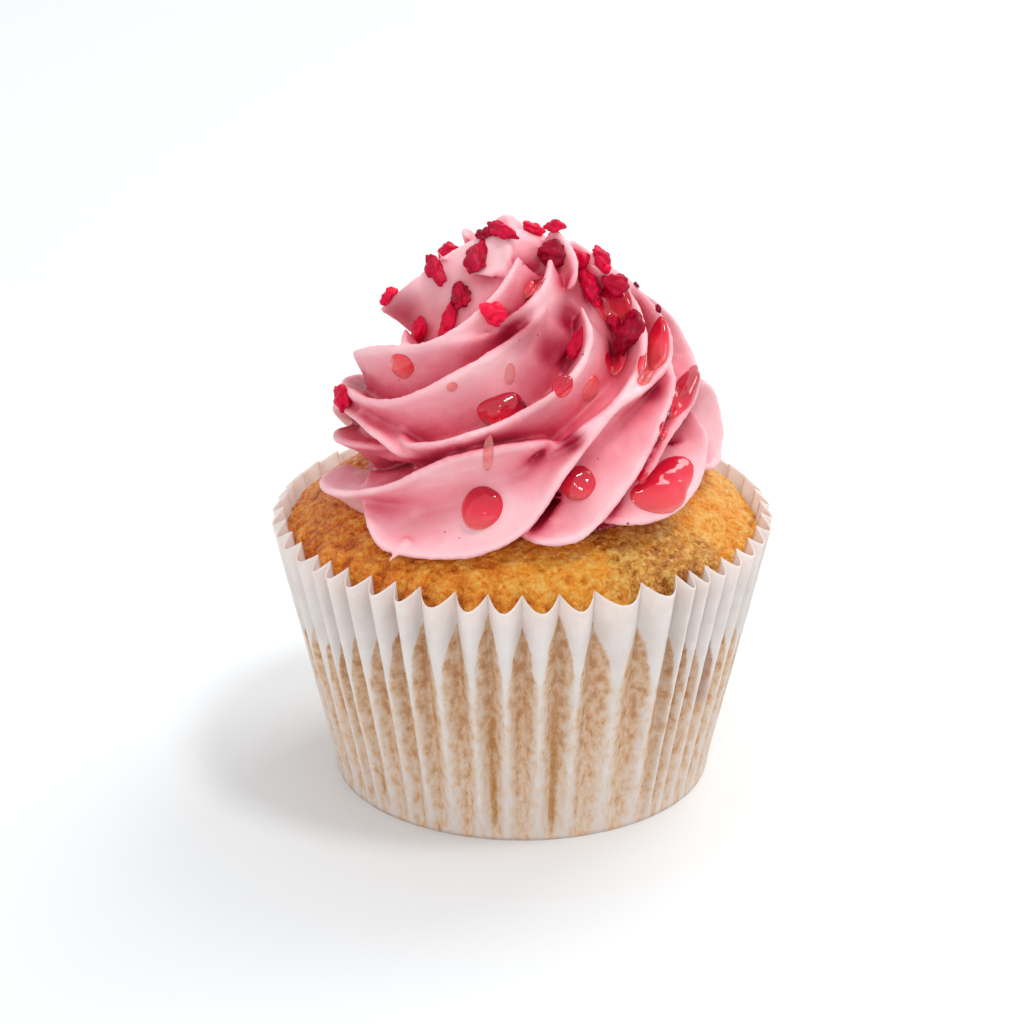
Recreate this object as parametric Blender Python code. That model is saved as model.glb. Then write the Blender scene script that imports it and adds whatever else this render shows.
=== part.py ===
# A cupcake: a pleated paper baking case, a golden sponge that fills it, and a tall swirl of pink
# buttercream with pieces of dried berry and drops of berry syrup on it.
# Lengths are in millimetres up to the function that makes an object, which scales them to metres.
# +Z is up and the origin is the middle of the case's floor. Azimuths are in degrees, counter-clockwise
# from +X seen from above, so that the front of the cupcake is at 270.

import math
import random

import bmesh
import bpy
from mathutils import Matrix, Vector, noise
from mathutils.bvhtree import BVHTree

MM = 0.001
FRONT = 270.0
GAP = 0.3

# Paper case: a 50 mm baking case, pleated all round. Folds are the sharp inward edges of the pleats.
CASE_FLOOR_RADIUS = 25.0
CASE_RIM_RADIUS = 33.2
CASE_HEIGHT = 36.2
CASE_THICKNESS = 0.4
PLEAT_DEPTH_LOW = 0.5
PLEAT_DEPTH_RIM = 3.0
FLAT_START = 30.0
FLAT_END = 58.0
FLAT_SHARE = 0.62
FRONT_FOLDS = (-55.9, -51.1, -45.2, -38.0, -31.3, -24.7, -15.8, -8.0, 0.0,
               8.8, 17.3, 29.4, 39.0, 43.0, 48.0, 54.0, 60.5)
OTHER_FOLDS = 30
FOLD_JITTER = 1.1
FOLD_SEED = 4
RIM_LIFT = 1.4
CASE_LEVELS = (0.0, 0.33, 0.67, 1.0)
CASE_PLEAT_POINTS = 4
SPONGE_PLEAT_POINTS = 2

# Sponge: it swells a little into the pleats, and its top is a low dome with a rounded edge.
SPONGE_EDGE_HEIGHT = 33.3
SPONGE_SWELL = 0.5
SPONGE_CROWN = ((29.0, 34.6), (28.3, 36.2), (26.4, 38.3), (20.0, 40.6), (12.0, 42.2))
CUTTER_FOOT = ((33.0, 30.0), (33.0, 33.8))
CUTTER_POINTS = 48

# Buttercream: all ridges lie on one rounded cone, the envelope, that flares at its foot.
SWIRL_FOOT = 40.0
SWIRL_TOP = 77.0
SWIRL_RADIUS = 26.0
SWIRL_ROUNDNESS = 0.65
SWIRL_FLARE = 1.2
SWIRL_FLARE_HEIGHT = 5.0
CORE_SHARE_FOOT = 0.74
CORE_SHARE = 0.66
CORE_WAIST = 52.0
CORE_BOTTOM = 38.2
CORE_TOP = 70.0
CORE_LEVELS = 11
CORE_POINTS = 36
RIDGE_DEPTH = 8.0
RIDGE_DEPTH_SHARE = 0.55
RIDGE_DEPTH_LEAST = 1.5
RIDGE_LIP = 0.5
RIDGE_LIP_START = 0.5
RIDGE_LIP_GROWTH = 8.0
RIDGE_HOLLOW = 1.9
BROAD_RIDGE = 7.0
BROAD_HOLLOW = 1.2
RIDGE_END = 6.0
RIDGE_END_WIDTH = 0.35
BROAD_END = 11.0
BROAD_END_WIDTH = 0.1
RIDGE_END_DEPTH = 0.6
RIDGE_STEP = 2.2
RIDGE_SECTION = (0.0, 0.06, 0.22, 0.5, 1.0)
SWIRL_VOXEL = 0.6
SWIRL_TRIANGLES = 5000

# The ridges of the front, each with its half-width at the root and its stations from foot to end.
# A station is an azimuth, a height, the ridge's reach as a share of the envelope's radius and its
# lean in degrees, up being negative.
FRONT_RIDGES = (
    (4.4, ((170, 40.6, 0.88, 10), (188, 41.6, 1.0, 5), (208, 43.4, 1.05, -5), (228, 46.8, 1.03, -15),
           (246, 51.6, 1.01, -20), (262, 53.8, 1.01, -20), (275, 54.2, 0.98, -15), (284, 53.0, 0.86, 0))),
    (5.0, ((205, 45.0, 0.84, 20), (220, 42.8, 1.0, 25), (229, 39.8, 1.02, 35), (242, 39.4, 1.0, 38),
           (258, 40.6, 1.0, 38), (272, 44.0, 1.0, 30), (284, 51.2, 1.0, 12), (301, 57.0, 1.0, -5),
           (322, 59.0, 1.0, -5), (338, 60.4, 1.0, -5), (349, 63.6, 1.0, -10), (344, 69.2, 1.0, -10),
           (332, 74.2, 0.95, -10))),
    (4.4, ((263, 43.4, 0.78, 30), (272, 42.3, 0.97, 35), (281, 41.9, 1.0, 35), (290, 43.2, 1.0, 30),
           (304, 48.5, 1.0, 20),
           (318, 53.6, 1.0, 15), (334, 58.6, 1.0, 5), (345, 61.4, 0.84, 0))),
    (3.0, ((300, 43.5, 0.78, 20), (310, 48.2, 0.97, 15), (324, 52.4, 0.99, 10), (348, 54.8, 1.0, 0),
           (366, 56.5, 1.0, 0), (370, 61.5, 1.0, -10), (356, 67.0, 0.92, -15))),
    (4.6, ((286, 44.4, 0.78, 30), (298, 43.2, 0.98, 40), (311, 42.6, 1.0, 38), (322, 43.1, 1.0, 35),
           (334, 45.2, 1.0, 20),
           (342, 50.0, 1.0, 10), (339, 54.6, 0.88, 5))),
    (4.8, ((344, 44.6, 0.86, 20), (357, 42.6, 0.97, 20), (366, 44.6, 1.03, 15), (369, 48.4, 1.05, 5),
           (366, 52.4, 1.03, 0), (354, 55.5, 0.92, 0))),
    (3.8, ((224, 52.8, 0.9, -15), (234, 52.6, 1.0, -15), (250, 54.6, 1.02, -15), (270, 58.0, 1.02, -18),
           (287, 61.4, 1.01, -18), (299, 65.2, 1.0, -18), (301, 68.4, 0.98, -20))),
    (3.2, ((277, 51.4, 0.86, -10), (285, 54.6, 0.98, -20), (303, 57.9, 0.98, -25), (321, 61.4, 0.98, -20),
           (335, 65.4, 0.97, -20), (340, 68.8, 0.95, -20), (328, 71.8, 0.92, -20))),
    (4.6, ((112, 42.4, 0.86, 20), (124, 43.4, 1.0, 25), (138, 47.5, 0.98, 5), (158, 51.4, 0.97, -10),
           (178, 53.6, 0.99, -20), (196, 55.2, 1.02, -22), (222, 56.8, 1.01, -22), (246, 61.8, 1.0, -22),
           (266, 65.8, 0.98, -22), (284, 68.6, 0.86, -20))),
    (4.4, ((86, 42.4, 0.86, 20), (98, 43.6, 1.0, 25), (116, 48.5, 0.98, 5), (138, 53.2, 0.96, -10),
           (162, 56.0, 0.95, -20), (182, 58.2, 1.0, -24), (200, 61.1, 1.03, -24), (220, 63.0, 1.0, -24),
           (244, 65.0, 0.95, -24), (264, 66.4, 0.84, -20))),
    (4.4, ((204, 63.6, 0.88, -20), (218, 63.0, 0.98, -25), (232, 64.6, 1.0, -25), (250, 68.8, 1.0, -25),
           (266, 73.8, 1.02, -20))),
    (3.8, ((252, 65.8, 0.84, -20), (266, 68.2, 0.98, -24), (280, 70.6, 1.0, -24), (293, 73.4, 1.02, -20))),
    (7.5, ((188, 64.4, 1.04, 20), (197, 69.0, 1.03, 10), (204, 73.2, 0.98, 0), (228, 75.6, 0.92, -10),
           (250, 75.2, 0.92, -10), (260, 72.4, 0.86, -10))),
    (4.0, ((300, 69.6, 0.84, 0), (308, 71.4, 0.96, -5), (320, 73.8, 0.98, -5), (332, 75.6, 0.9, -5))),
    (4.6, ((140, 42.4, 0.86, 20), (152, 43.2, 1.0, 20), (168, 47.5, 1.0, 10), (186, 51.6, 1.0, 5),
           (204, 52.8, 1.0, 5), (220, 52.2, 1.0, 5), (232, 50.8, 0.97, 5), (244, 51.0, 0.84, 0))),
    (5.0, ((160, 44.5, 0.84, 0), (176, 46.4, 0.95, 0), (196, 48.2, 0.98, 0), (214, 49.6, 0.9, 0),
           (226, 50.0, 0.8, 0))),
    (2.6, ((84, 70.6, 0.84, 0), (98, 73.4, 0.97, 0), (110, 74.4, 1.0, 0), (122, 72.0, 0.84, 0))),
    (3.8, ((114, 69.2, 0.9, 0), (136, 72.2, 0.97, 0), (160, 73.6, 0.96, 0), (186, 73.8, 0.9, 0))),
)

# The ridges of the back: alike, one after another, and turned a little further each time.
BACK_HALF_WIDTH = 5.0
BACK_RIDGE = ((-14, 42.5, 0.86, 20), (0, 41.4, 1.0, 30), (16, 44.0, 1.0, 25), (32, 51.0, 1.0, 10),
              (48, 58.5, 1.0, -10), (64, 65.0, 0.98, -20), (78, 70.0, 0.9, -20))
BACK_FEET = (14.0, 40.0, 66.0)
BACK_JITTER = 3.0
BACK_SEED = 11

# Pieces of dried berry on the front: azimuth and height on the envelope, length, width and the turn
# of the length from level, in degrees.
BERRY_PIECES = (
    (214, 75.5, 2.0, 1.5, 10), (239, 75.5, 5.2, 1.9, -42), (147, 70.5, 2.4, 1.9, 20),
    (202, 70.5, 4.6, 2.0, -62), (225, 73.5, 4.6, 2.6, 80), (222, 70.5, 3.7, 2.6, -60),
    (192, 66.0, 2.3, 2.0, 30), (221, 67.5, 5.1, 2.0, 82), (207, 65.5, 4.4, 1.9, 40),
    (255, 68.5, 3.1, 2.7, -50), (185, 52.5, 3.4, 3.0, 60), (299, 76.5, 2.8, 1.9, 15),
    (330, 75.5, 2.4, 1.9, 40), (311, 74.5, 3.6, 3.2, 100), (332, 73.0, 2.2, 1.9, -50),
    (338, 72.0, 2.8, 2.2, 85), (328, 71.0, 4.7, 2.8, 78), (338, 69.5, 2.8, 2.0, -30),
    (335, 66.5, 3.8, 2.0, 80), (331, 64.0, 5.2, 3.3, 55), (298, 65.5, 3.7, 2.3, 70),
)
BERRY_THICKNESS = 0.62
BERRY_SINK = 0.22
BERRY_ROUGHNESS = 0.28
BERRY_WAVES = 3.0
BERRY_SHIFT = 7.3
LARGE_PIECE = 2.5

# Drops and pools of berry syrup on the front, in the same way.
SYRUP_DROPS = (
    (217, 61.0, 3.6, 2.6, 90), (263, 58.0, 6.2, 3.6, 10), (257, 45.5, 5.4, 5.0, 30),
    (289, 48.5, 4.4, 4.0, 70), (285, 60.5, 3.0, 2.6, 60), (299, 60.0, 3.2, 2.2, 75),
    (322, 60.0, 2.8, 1.9, 80), (340, 61.5, 6.5, 2.7, 80), (342, 55.0, 7.4, 3.8, 65),
    (317, 45.5, 8.4, 6.2, 62), (279, 71.5, 2.8, 1.9, 60), (323, 62.5, 4.2, 2.4, 70),
    (337, 68.5, 4.6, 3.4, 80),
)
SYRUP_RISE = 0.26

# Behind, both lie by rule: each a golden angle's share further round the back half.
BACK_PIECES = 9
BACK_PIECES_SEED = 3
BACK_DROPS = 5
BACK_DROPS_SEED = 8
BACK_SPAN = (20.0, 165.0)
BACK_HEIGHTS = (47.0, 73.0)
BACK_LENGTHS = (2.2, 4.4)
BACK_SHARES = (0.55, 0.8)
GOLDEN = 0.618
SEED_SHIFT = 0.1
SEAT_START = 20.0
SEAT_LEVELLING = 0.5


def polar(azimuth, radius, height):
    angle = math.radians(azimuth)
    return Vector((radius * math.cos(angle), radius * math.sin(angle), height))


def round_ring(radius, height, count):
    return [polar(360.0 * i / count, radius, height) for i in range(count)]


def material(name, colour, roughness):
    made = bpy.data.materials.new(name)
    made.use_nodes = True
    shader = made.node_tree.nodes["Principled BSDF"]
    shader.inputs["Base Color"].default_value = (*colour, 1.0)
    shader.inputs["Roughness"].default_value = roughness
    shader.inputs["Metallic"].default_value = 0.0
    made.diffuse_color = (*colour, 1.0)
    return made


def bridge(bm, lower, upper):
    """Joins two rings of vertices with a band of faces that look away from their middle."""
    count = len(lower)
    for i in range(count):
        j = (i + 1) % count
        bm.faces.new((lower[i], lower[j], upper[j], upper[i]))


def closed_body(bm, rings):
    """Adds a body through the rings, with both of its ends filled."""
    made = [[bm.verts.new(point) for point in ring] for ring in rings]
    for lower, upper in zip(made, made[1:]):
        bridge(bm, lower, upper)
    bm.faces.new(reversed(made[0]))
    bm.faces.new(made[-1])


def new_object(name, bm, colour, roughness):
    """Turns the bmesh, in millimetres, into an object in metres with its own material."""
    bmesh.ops.recalc_face_normals(bm, faces=bm.faces)
    bmesh.ops.scale(bm, vec=(MM, MM, MM), verts=bm.verts)
    mesh = bpy.data.meshes.new(name)
    bm.to_mesh(mesh)
    bm.free()
    made = bpy.data.objects.new(name, mesh)
    bpy.context.scene.collection.objects.link(made)
    mesh.materials.append(material(name, colour, roughness))
    return made


# Paper case

def fold_azimuths():
    """All folds, round from the leftmost of the front."""
    draw = random.Random(FOLD_SEED)
    folds = [FRONT + turn for turn in FRONT_FOLDS]
    first = folds[-1]
    step = (360.0 + folds[0] - first) / (OTHER_FOLDS + 1)
    for i in range(1, OTHER_FOLDS + 1):
        folds.append(first + i * step + draw.uniform(-FOLD_JITTER, FOLD_JITTER))
    return folds


def pleat_points(per_pleat):
    """Azimuths round the case with how far out each lies in its pleat, 0 at a fold and 1 between."""
    folds = fold_azimuths()
    ends = folds[1:] + [folds[0] + 360.0]
    points = []
    for start, end in zip(folds, ends):
        for k in range(per_pleat):
            share = k / per_pleat
            points.append((start + (end - start) * share, math.sin(math.pi * share)))
    return points


def case_radius(height):
    return CASE_FLOOR_RADIUS + (CASE_RIM_RADIUS - CASE_FLOOR_RADIUS) * height / CASE_HEIGHT


def pleat_depth(azimuth, height):
    """The pleats are deepest at the front and lie flatter further round."""
    aside = abs((azimuth - FRONT + 180.0) % 360.0 - 180.0)
    flat = min(max((aside - FLAT_START) / (FLAT_END - FLAT_START), 0.0), 1.0)
    depth = PLEAT_DEPTH_LOW + (PLEAT_DEPTH_RIM - PLEAT_DEPTH_LOW) * height / CASE_HEIGHT
    return depth * (1.0 - (1.0 - FLAT_SHARE) * flat)


def case_ring(share, inset, lift=0.0):
    """One level of the pleated wall. The folds stand a little higher than the rest at the rim."""
    ring = []
    for azimuth, out in pleat_points(CASE_PLEAT_POINTS):
        height = share * CASE_HEIGHT + share * RIM_LIFT * (0.5 - out)
        depth = pleat_depth(azimuth, height) * (1.0 - out)
        ring.append(polar(azimuth, case_radius(height) - depth - inset, height + lift))
    return ring


def paper_case():
    bm = bmesh.new()
    outer = [case_ring(share, 0.0) for share in CASE_LEVELS]
    inner = [case_ring(share, CASE_THICKNESS) for share in reversed(CASE_LEVELS[1:])]
    floor = case_ring(CASE_LEVELS[0], CASE_THICKNESS, CASE_THICKNESS)
    closed_body(bm, outer + inner + [floor])
    return new_object("paper_case", bm, (0.82, 0.74, 0.68), 0.75)


# Sponge

def sponge_ring(height):
    """The sponge's side: it fills the case and swells part of the way into each pleat."""
    ring = []
    for azimuth, out in pleat_points(SPONGE_PLEAT_POINTS):
        depth = pleat_depth(azimuth, height)
        at_fold = case_radius(height) - depth - CASE_THICKNESS - GAP
        ring.append(polar(azimuth, at_fold + SPONGE_SWELL * depth * out, height))
    return ring


def sponge():
    bm = bmesh.new()
    bottom = CASE_THICKNESS + GAP
    rings = [sponge_ring(bottom), sponge_ring(SPONGE_EDGE_HEIGHT / 2), sponge_ring(SPONGE_EDGE_HEIGHT)]
    for radius, height in SPONGE_CROWN:
        rings.append([polar(azimuth, radius, height) for azimuth, out in pleat_points(SPONGE_PLEAT_POINTS)])
    closed_body(bm, rings)
    return new_object("sponge", bm, (0.62, 0.28, 0.05), 0.8)


def sponge_cutter():
    """The sponge's crown with the gap round it, which the buttercream's underside follows."""
    bm = bmesh.new()
    rings = []
    for radius, height in CUTTER_FOOT + SPONGE_CROWN:
        rings.append(round_ring(radius + GAP, height + GAP, CUTTER_POINTS))
    closed_body(bm, rings)
    made = new_object("sponge_cutter", bm, (0.5, 0.5, 0.5), 0.5)
    made.hide_render = True
    made.display_type = "WIRE"
    return made


# Buttercream swirl

def envelope_radius(height):
    rise = min(max((height - SWIRL_FOOT) / (SWIRL_TOP - SWIRL_FOOT), 0.0), 1.0)
    flare = max(1.0 - (height - SWIRL_FOOT) / SWIRL_FLARE_HEIGHT, 0.0)
    return SWIRL_RADIUS * (1.0 - rise * rise) ** SWIRL_ROUNDNESS + SWIRL_FLARE * flare * flare


def envelope_normal(azimuth, height):
    slope = envelope_radius(height - 0.5) - envelope_radius(height + 0.5)
    return polar(azimuth, 1.0, slope).normalized()


def smooth_stations(stations, per_span=12):
    """A Catmull-Rom curve through the stations."""
    ends = [stations[0]] + list(stations) + [stations[-1]]
    curve = []
    for a, b, c, d in zip(ends, ends[1:], ends[2:], ends[3:]):
        for k in range(per_span):
            t = k / per_span
            curve.append(tuple(
                0.5 * (2 * q + (r - p) * t + (2 * p - 5 * q + 4 * r - s) * t * t
                       + (3 * q - p - 3 * r + s) * t ** 3)
                for p, q, r, s in zip(a, b, c, d)))
    curve.append(stations[-1])
    return curve


def evenly_spaced(curve, step):
    """The curve's stations at equal distances along it."""
    points = [polar(s[0], envelope_radius(s[1]) * s[2], s[1]) for s in curve]
    along = [0.0]
    for a, b in zip(points, points[1:]):
        along.append(along[-1] + (b - a).length)
    count = max(int(round(along[-1] / step)), 4)
    spaced = []
    k = 0
    for i in range(count + 1):
        distance = along[-1] * i / count
        while k < len(along) - 2 and along[k + 1] < distance:
            k += 1
        t = (distance - along[k]) / max(along[k + 1] - along[k], 1e-6)
        spaced.append(tuple(p + (q - p) * t for p, q in zip(curve[k], curve[k + 1])))
    return spaced, along[-1]


def ridge_rings(half_width, stations, step, depths):
    """Sections of one ridge: a thin lip on the envelope that widens inwards in hollow flanks."""
    hollow, end, end_width = RIDGE_HOLLOW, RIDGE_END, RIDGE_END_WIDTH
    if half_width > BROAD_RIDGE:
        hollow, end, end_width = BROAD_HOLLOW, BROAD_END, BROAD_END_WIDTH
    spaced, length = evenly_spaced(smooth_stations(stations), step)
    points = [polar(s[0], envelope_radius(s[1]) * s[2], s[1]) for s in spaced]
    rings = []
    for i, (azimuth, height, reach, lean) in enumerate(spaced):
        before = points[max(i - 1, 0)]
        after = points[min(i + 1, len(points) - 1)]
        tangent = (after - before).normalized()
        normal = envelope_normal(azimuth, min(height, SWIRL_TOP - 1.0))
        normal = (normal - tangent * normal.dot(tangent)).normalized()
        down = tangent.cross(normal)
        tilt = math.radians(lean)
        out = normal * math.cos(tilt) + down * math.sin(tilt)
        side = tangent.cross(out)
        near_end = min(i, len(spaced) - 1 - i) / (len(spaced) - 1) * length
        swell = min(near_end / end, 1.0)
        swell = end_width + (1.0 - end_width) * math.sqrt(1.0 - (1.0 - swell) ** 2)
        reach_in = min(RIDGE_DEPTH, RIDGE_DEPTH_SHARE * points[i].xy.length + RIDGE_DEPTH_LEAST)
        reach_in *= RIDGE_END_DEPTH + (1.0 - RIDGE_END_DEPTH) * swell
        ring = []
        for sign in (1, -1):
            for d in (depths if sign > 0 else reversed(depths)):
                lip = RIDGE_LIP * min(RIDGE_LIP_START + RIDGE_LIP_GROWTH * d, 1.0)
                width = lip + (half_width - RIDGE_LIP) * d ** hollow
                ring.append(points[i] - out * (d * reach_in) + side * (sign * width * swell))
        rings.append(ring)
    return rings


def swirl_mesh(step, depths):
    """Core and ridges, as overlapping bodies in one bmesh."""
    bm = bmesh.new()
    core = []
    for i in range(CORE_LEVELS):
        height = CORE_BOTTOM + (CORE_TOP - CORE_BOTTOM) * i / (CORE_LEVELS - 1)
        low = max(CORE_WAIST - height, 0.0) / (CORE_WAIST - SWIRL_FOOT)
        radius = (CORE_SHARE + (CORE_SHARE_FOOT - CORE_SHARE) * min(low, 1.0)) * envelope_radius(height)
        core.append(round_ring(radius, height, CORE_POINTS))
    closed_body(bm, core)
    draw = random.Random(BACK_SEED)
    ridges = list(FRONT_RIDGES)
    for foot in BACK_FEET:
        turn = foot + draw.uniform(-BACK_JITTER, BACK_JITTER)
        stations = [(azimuth + turn, height, reach, lean) for azimuth, height, reach, lean in BACK_RIDGE]
        ridges.append((BACK_HALF_WIDTH, stations))
    for half_width, stations in ridges:
        closed_body(bm, ridge_rings(half_width, stations, step, depths))
    return bm


def apply_modifiers(thing):
    graph = bpy.context.evaluated_depsgraph_get()
    mesh = bpy.data.meshes.new_from_object(thing.evaluated_get(graph))
    thing.modifiers.clear()
    thing.data = mesh


def plain_swirl():
    """The swirl fused to one skin, with few and even triangles."""
    bm = swirl_mesh(RIDGE_STEP, RIDGE_SECTION)
    swirl = new_object("buttercream", bm, (0.85, 0.34, 0.40), 0.45)
    fuse = swirl.modifiers.new("fuse", "REMESH")
    fuse.mode = "VOXEL"
    fuse.voxel_size = SWIRL_VOXEL * MM
    apply_modifiers(swirl)
    keep_largest_body(swirl)
    thin = swirl.modifiers.new("thin_out", "DECIMATE")
    thin.ratio = SWIRL_TRIANGLES / (2.0 * len(swirl.data.polygons))
    apply_modifiers(swirl)
    return swirl


def keep_largest_body(thing):
    """Drops loose scraps and the walls of sealed hollows."""
    bm = bmesh.new()
    bm.from_mesh(thing.data)
    left = set(bm.faces)
    bodies = []
    while left:
        body = [left.pop()]
        for face in body:
            for edge in face.edges:
                for other in edge.link_faces:
                    if other in left:
                        left.remove(other)
                        body.append(other)
        bodies.append(body)
    bodies.sort(key=lambda body: sum(face.calc_area() for face in body))
    for body in bodies[:-1]:
        bmesh.ops.delete(bm, geom=body, context="FACES")
    bm.to_mesh(thing.data)
    bm.free()


# Toppings

def seat(surface, azimuth, height, turn):
    """Where a topping lies on the swirl, in metres, with its length, width and outward directions."""
    outward = envelope_normal(azimuth, height)
    start = (polar(azimuth, envelope_radius(height), height) + outward * SEAT_START) * MM
    point, normal, index, distance = surface.ray_cast(start, -outward)
    normal = (normal + outward * SEAT_LEVELLING).normalized()
    level = polar(azimuth + 90.0, 1.0, 0.0)
    level = (level - normal * level.dot(normal)).normalized()
    rise = normal.cross(level)
    angle = math.radians(turn)
    along = level * math.cos(angle) + rise * math.sin(angle)
    return point, along, normal.cross(along), normal


def place(name, bm, middle, along, across, normal, collection):
    """Makes an object of a topping that was modelled in millimetres about its middle."""
    frame = Matrix((along, across, normal)).transposed().to_4x4()
    frame.translation = middle
    bmesh.ops.scale(bm, vec=(MM, MM, MM), verts=bm.verts)
    mesh = bpy.data.meshes.new(name)
    bm.transform(frame)
    bm.to_mesh(mesh)
    bm.free()
    collection.objects.link(bpy.data.objects.new(name, mesh))


def berry_piece(number, surface, collection, azimuth, height, length, width, turn):
    """An angular crumb of dried berry, sunk a little into the buttercream."""
    point, along, across, normal = seat(surface, azimuth, height, turn)
    thickness = BERRY_THICKNESS * width
    bm = bmesh.new()
    if length > LARGE_PIECE:
        bmesh.ops.create_uvsphere(bm, u_segments=7, v_segments=4, radius=0.5)
    else:
        bmesh.ops.create_icosphere(bm, subdivisions=1, radius=0.5)
    for vert in bm.verts:
        shift = Vector((number * BERRY_SHIFT, 0.0, 0.0))
        swell = 1.0 + BERRY_ROUGHNESS * noise.noise(vert.co * BERRY_WAVES + shift)
        vert.co = Vector((vert.co.x * length, vert.co.y * width, vert.co.z * thickness)) * swell
    middle = point + normal * (0.5 - BERRY_SINK) * thickness * MM
    place(f"piece_{number:02d}", bm, middle, along, across, normal, collection)


def syrup_drop(number, surface, collection, azimuth, height, length, width, turn):
    """A low round drop that lies on the buttercream."""
    point, along, across, normal = seat(surface, azimuth, height, turn)
    bm = bmesh.new()
    bmesh.ops.create_uvsphere(bm, u_segments=9, v_segments=4, radius=1.0)
    for vert in bm.verts:
        vert.co = Vector((vert.co.x * length / 2, vert.co.y * width / 2, vert.co.z * width * SYRUP_RISE))
    place(f"drop_{number:02d}", bm, point, along, across, normal, collection)


def back_places(count, seed):
    """Azimuth, height, size and turn of toppings spread over the back."""
    draw = random.Random(seed)
    for i in range(count):
        share = ((i + 1) * GOLDEN + seed * SEED_SHIFT) % 1.0
        azimuth = BACK_SPAN[0] + (BACK_SPAN[1] - BACK_SPAN[0]) * share
        height = BACK_HEIGHTS[0] + (BACK_HEIGHTS[1] - BACK_HEIGHTS[0]) * (i + 0.5) / count
        yield azimuth, height, draw.uniform(*BACK_LENGTHS), draw.uniform(*BACK_SHARES), draw.uniform(0.0, 180.0)


def toppings(swirl):
    """All pieces and drops, in a collection of their own."""
    surface = BVHTree.FromObject(swirl, bpy.context.evaluated_depsgraph_get())
    collection = bpy.data.collections.new("toppings")
    pieces = list(BERRY_PIECES)
    drops = list(SYRUP_DROPS)
    for azimuth, height, length, share, turn in back_places(BACK_PIECES, BACK_PIECES_SEED):
        pieces.append((azimuth, height, length, length * share, turn))
    for azimuth, height, length, share, turn in back_places(BACK_DROPS, BACK_DROPS_SEED):
        drops.append((azimuth, height, length, length * share, turn))
    for number, piece in enumerate(pieces):
        berry_piece(number, surface, collection, *piece)
    for number, drop in enumerate(drops):
        syrup_drop(number, surface, collection, *drop)
    return collection


def buttercream():
    """The swirl with its toppings, hollowed below so that it sits on the sponge's crown."""
    swirl = plain_swirl()
    collection = toppings(swirl)
    join = swirl.modifiers.new("toppings", "BOOLEAN")
    join.operation = "UNION"
    join.operand_type = "COLLECTION"
    join.collection = collection
    apply_modifiers(swirl)
    for topping in list(collection.objects):
        bpy.data.objects.remove(topping, do_unlink=True)
    bpy.data.collections.remove(collection)
    cutter = sponge_cutter()
    seat_cut = swirl.modifiers.new("seat", "BOOLEAN")
    seat_cut.operation = "DIFFERENCE"
    seat_cut.object = cutter
    apply_modifiers(swirl)
    bpy.data.objects.remove(cutter, do_unlink=True)
    keep_largest_body(swirl)
    return swirl


def main():
    for old in list(bpy.data.objects):
        bpy.data.objects.remove(old, do_unlink=True)
    paper_case()
    sponge()
    buttercream()


main()
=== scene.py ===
import math
import random

import bmesh
import bpy
import numpy as np
from mathutils import Matrix, Vector, noise
from mathutils.bvhtree import BVHTree


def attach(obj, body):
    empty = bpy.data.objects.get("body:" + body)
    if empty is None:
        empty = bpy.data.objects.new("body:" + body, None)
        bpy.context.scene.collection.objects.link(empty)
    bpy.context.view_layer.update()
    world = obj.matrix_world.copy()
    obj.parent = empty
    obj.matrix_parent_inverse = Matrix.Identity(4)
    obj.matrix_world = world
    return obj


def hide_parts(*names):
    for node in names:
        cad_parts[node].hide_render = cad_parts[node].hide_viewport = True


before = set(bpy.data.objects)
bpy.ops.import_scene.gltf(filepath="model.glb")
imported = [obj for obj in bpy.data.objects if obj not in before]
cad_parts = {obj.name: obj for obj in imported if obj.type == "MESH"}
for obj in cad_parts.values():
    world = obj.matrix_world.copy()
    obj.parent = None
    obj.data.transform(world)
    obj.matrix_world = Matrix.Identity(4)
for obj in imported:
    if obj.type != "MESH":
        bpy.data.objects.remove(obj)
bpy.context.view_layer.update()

MM = 0.001


# The picture. The cupcake stands on a pale table in a bright room, with a large soft window
# behind it on the right, a small pane above it and a low one in front. The camera looks down on
# it by 22 degrees, from 45 cm away.

CAMERA_PLACE = (0.0, -0.40304, 0.20212)
CAMERA_PITCH = 0.3920
CAMERA_ROLL_ASIDE = 0.0033
CAMERA_LENS = 116.27
CAMERA_SENSOR = 36.0
CAMERA_NEAREST = 0.01
TABLE_SIDE = 6.0
TABLE_HEX = "#e4e7e7"
ROOM_HEX = "#fbfbff"
ROOM_STRENGTH = 0.88
LIGHT_HEX = "#ffffff"
# Each light's name and place, its side in metres and its power in watts.
LIGHTS = (
    ("window", (0.45, 0.55, 0.80), 0.52, 3.6),
    ("window_pane", (0.26, -0.16, 0.85), 0.16, 2.1),
    ("low_window", (-0.16, -0.80, 0.34), 0.13, 0.7),
)
LIGHT_TARGET = Vector((0.0, 0.0, 0.045))


def linear(colour):
    """An sRGB hex colour as the linear red, green, blue and alpha that Blender takes."""
    parts = [int(colour[i:i + 2], 16) / 255 for i in (1, 3, 5)]
    return [p / 12.92 if p <= 0.04045 else ((p + 0.055) / 1.055) ** 2.4 for p in parts] + [1.0]


def feed(node, into):
    """Gives inputs of a node a value, or a link where an output stands in its place."""
    for socket, value in into.items():
        if isinstance(value, bpy.types.NodeSocket):
            node.id_data.links.new(value, node.inputs[socket])
        else:
            node.inputs[socket].default_value = value


def add(tree, kind, into=None, stops=(), **settings):
    """Adds a shader node with its inputs and, for a ramp, its stops, and returns its outputs."""
    made = tree.nodes.new("ShaderNode" + kind)
    for name, value in settings.items():
        setattr(made, name, value)
    feed(made, into or {})
    if stops:
        ramp = made.color_ramp.elements
        while len(ramp) < len(stops):
            ramp.new(0.5)
        for element, (place, colour) in zip(ramp, stops):
            element.position = place
            element.color = linear(colour)
    return made.outputs


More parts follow.
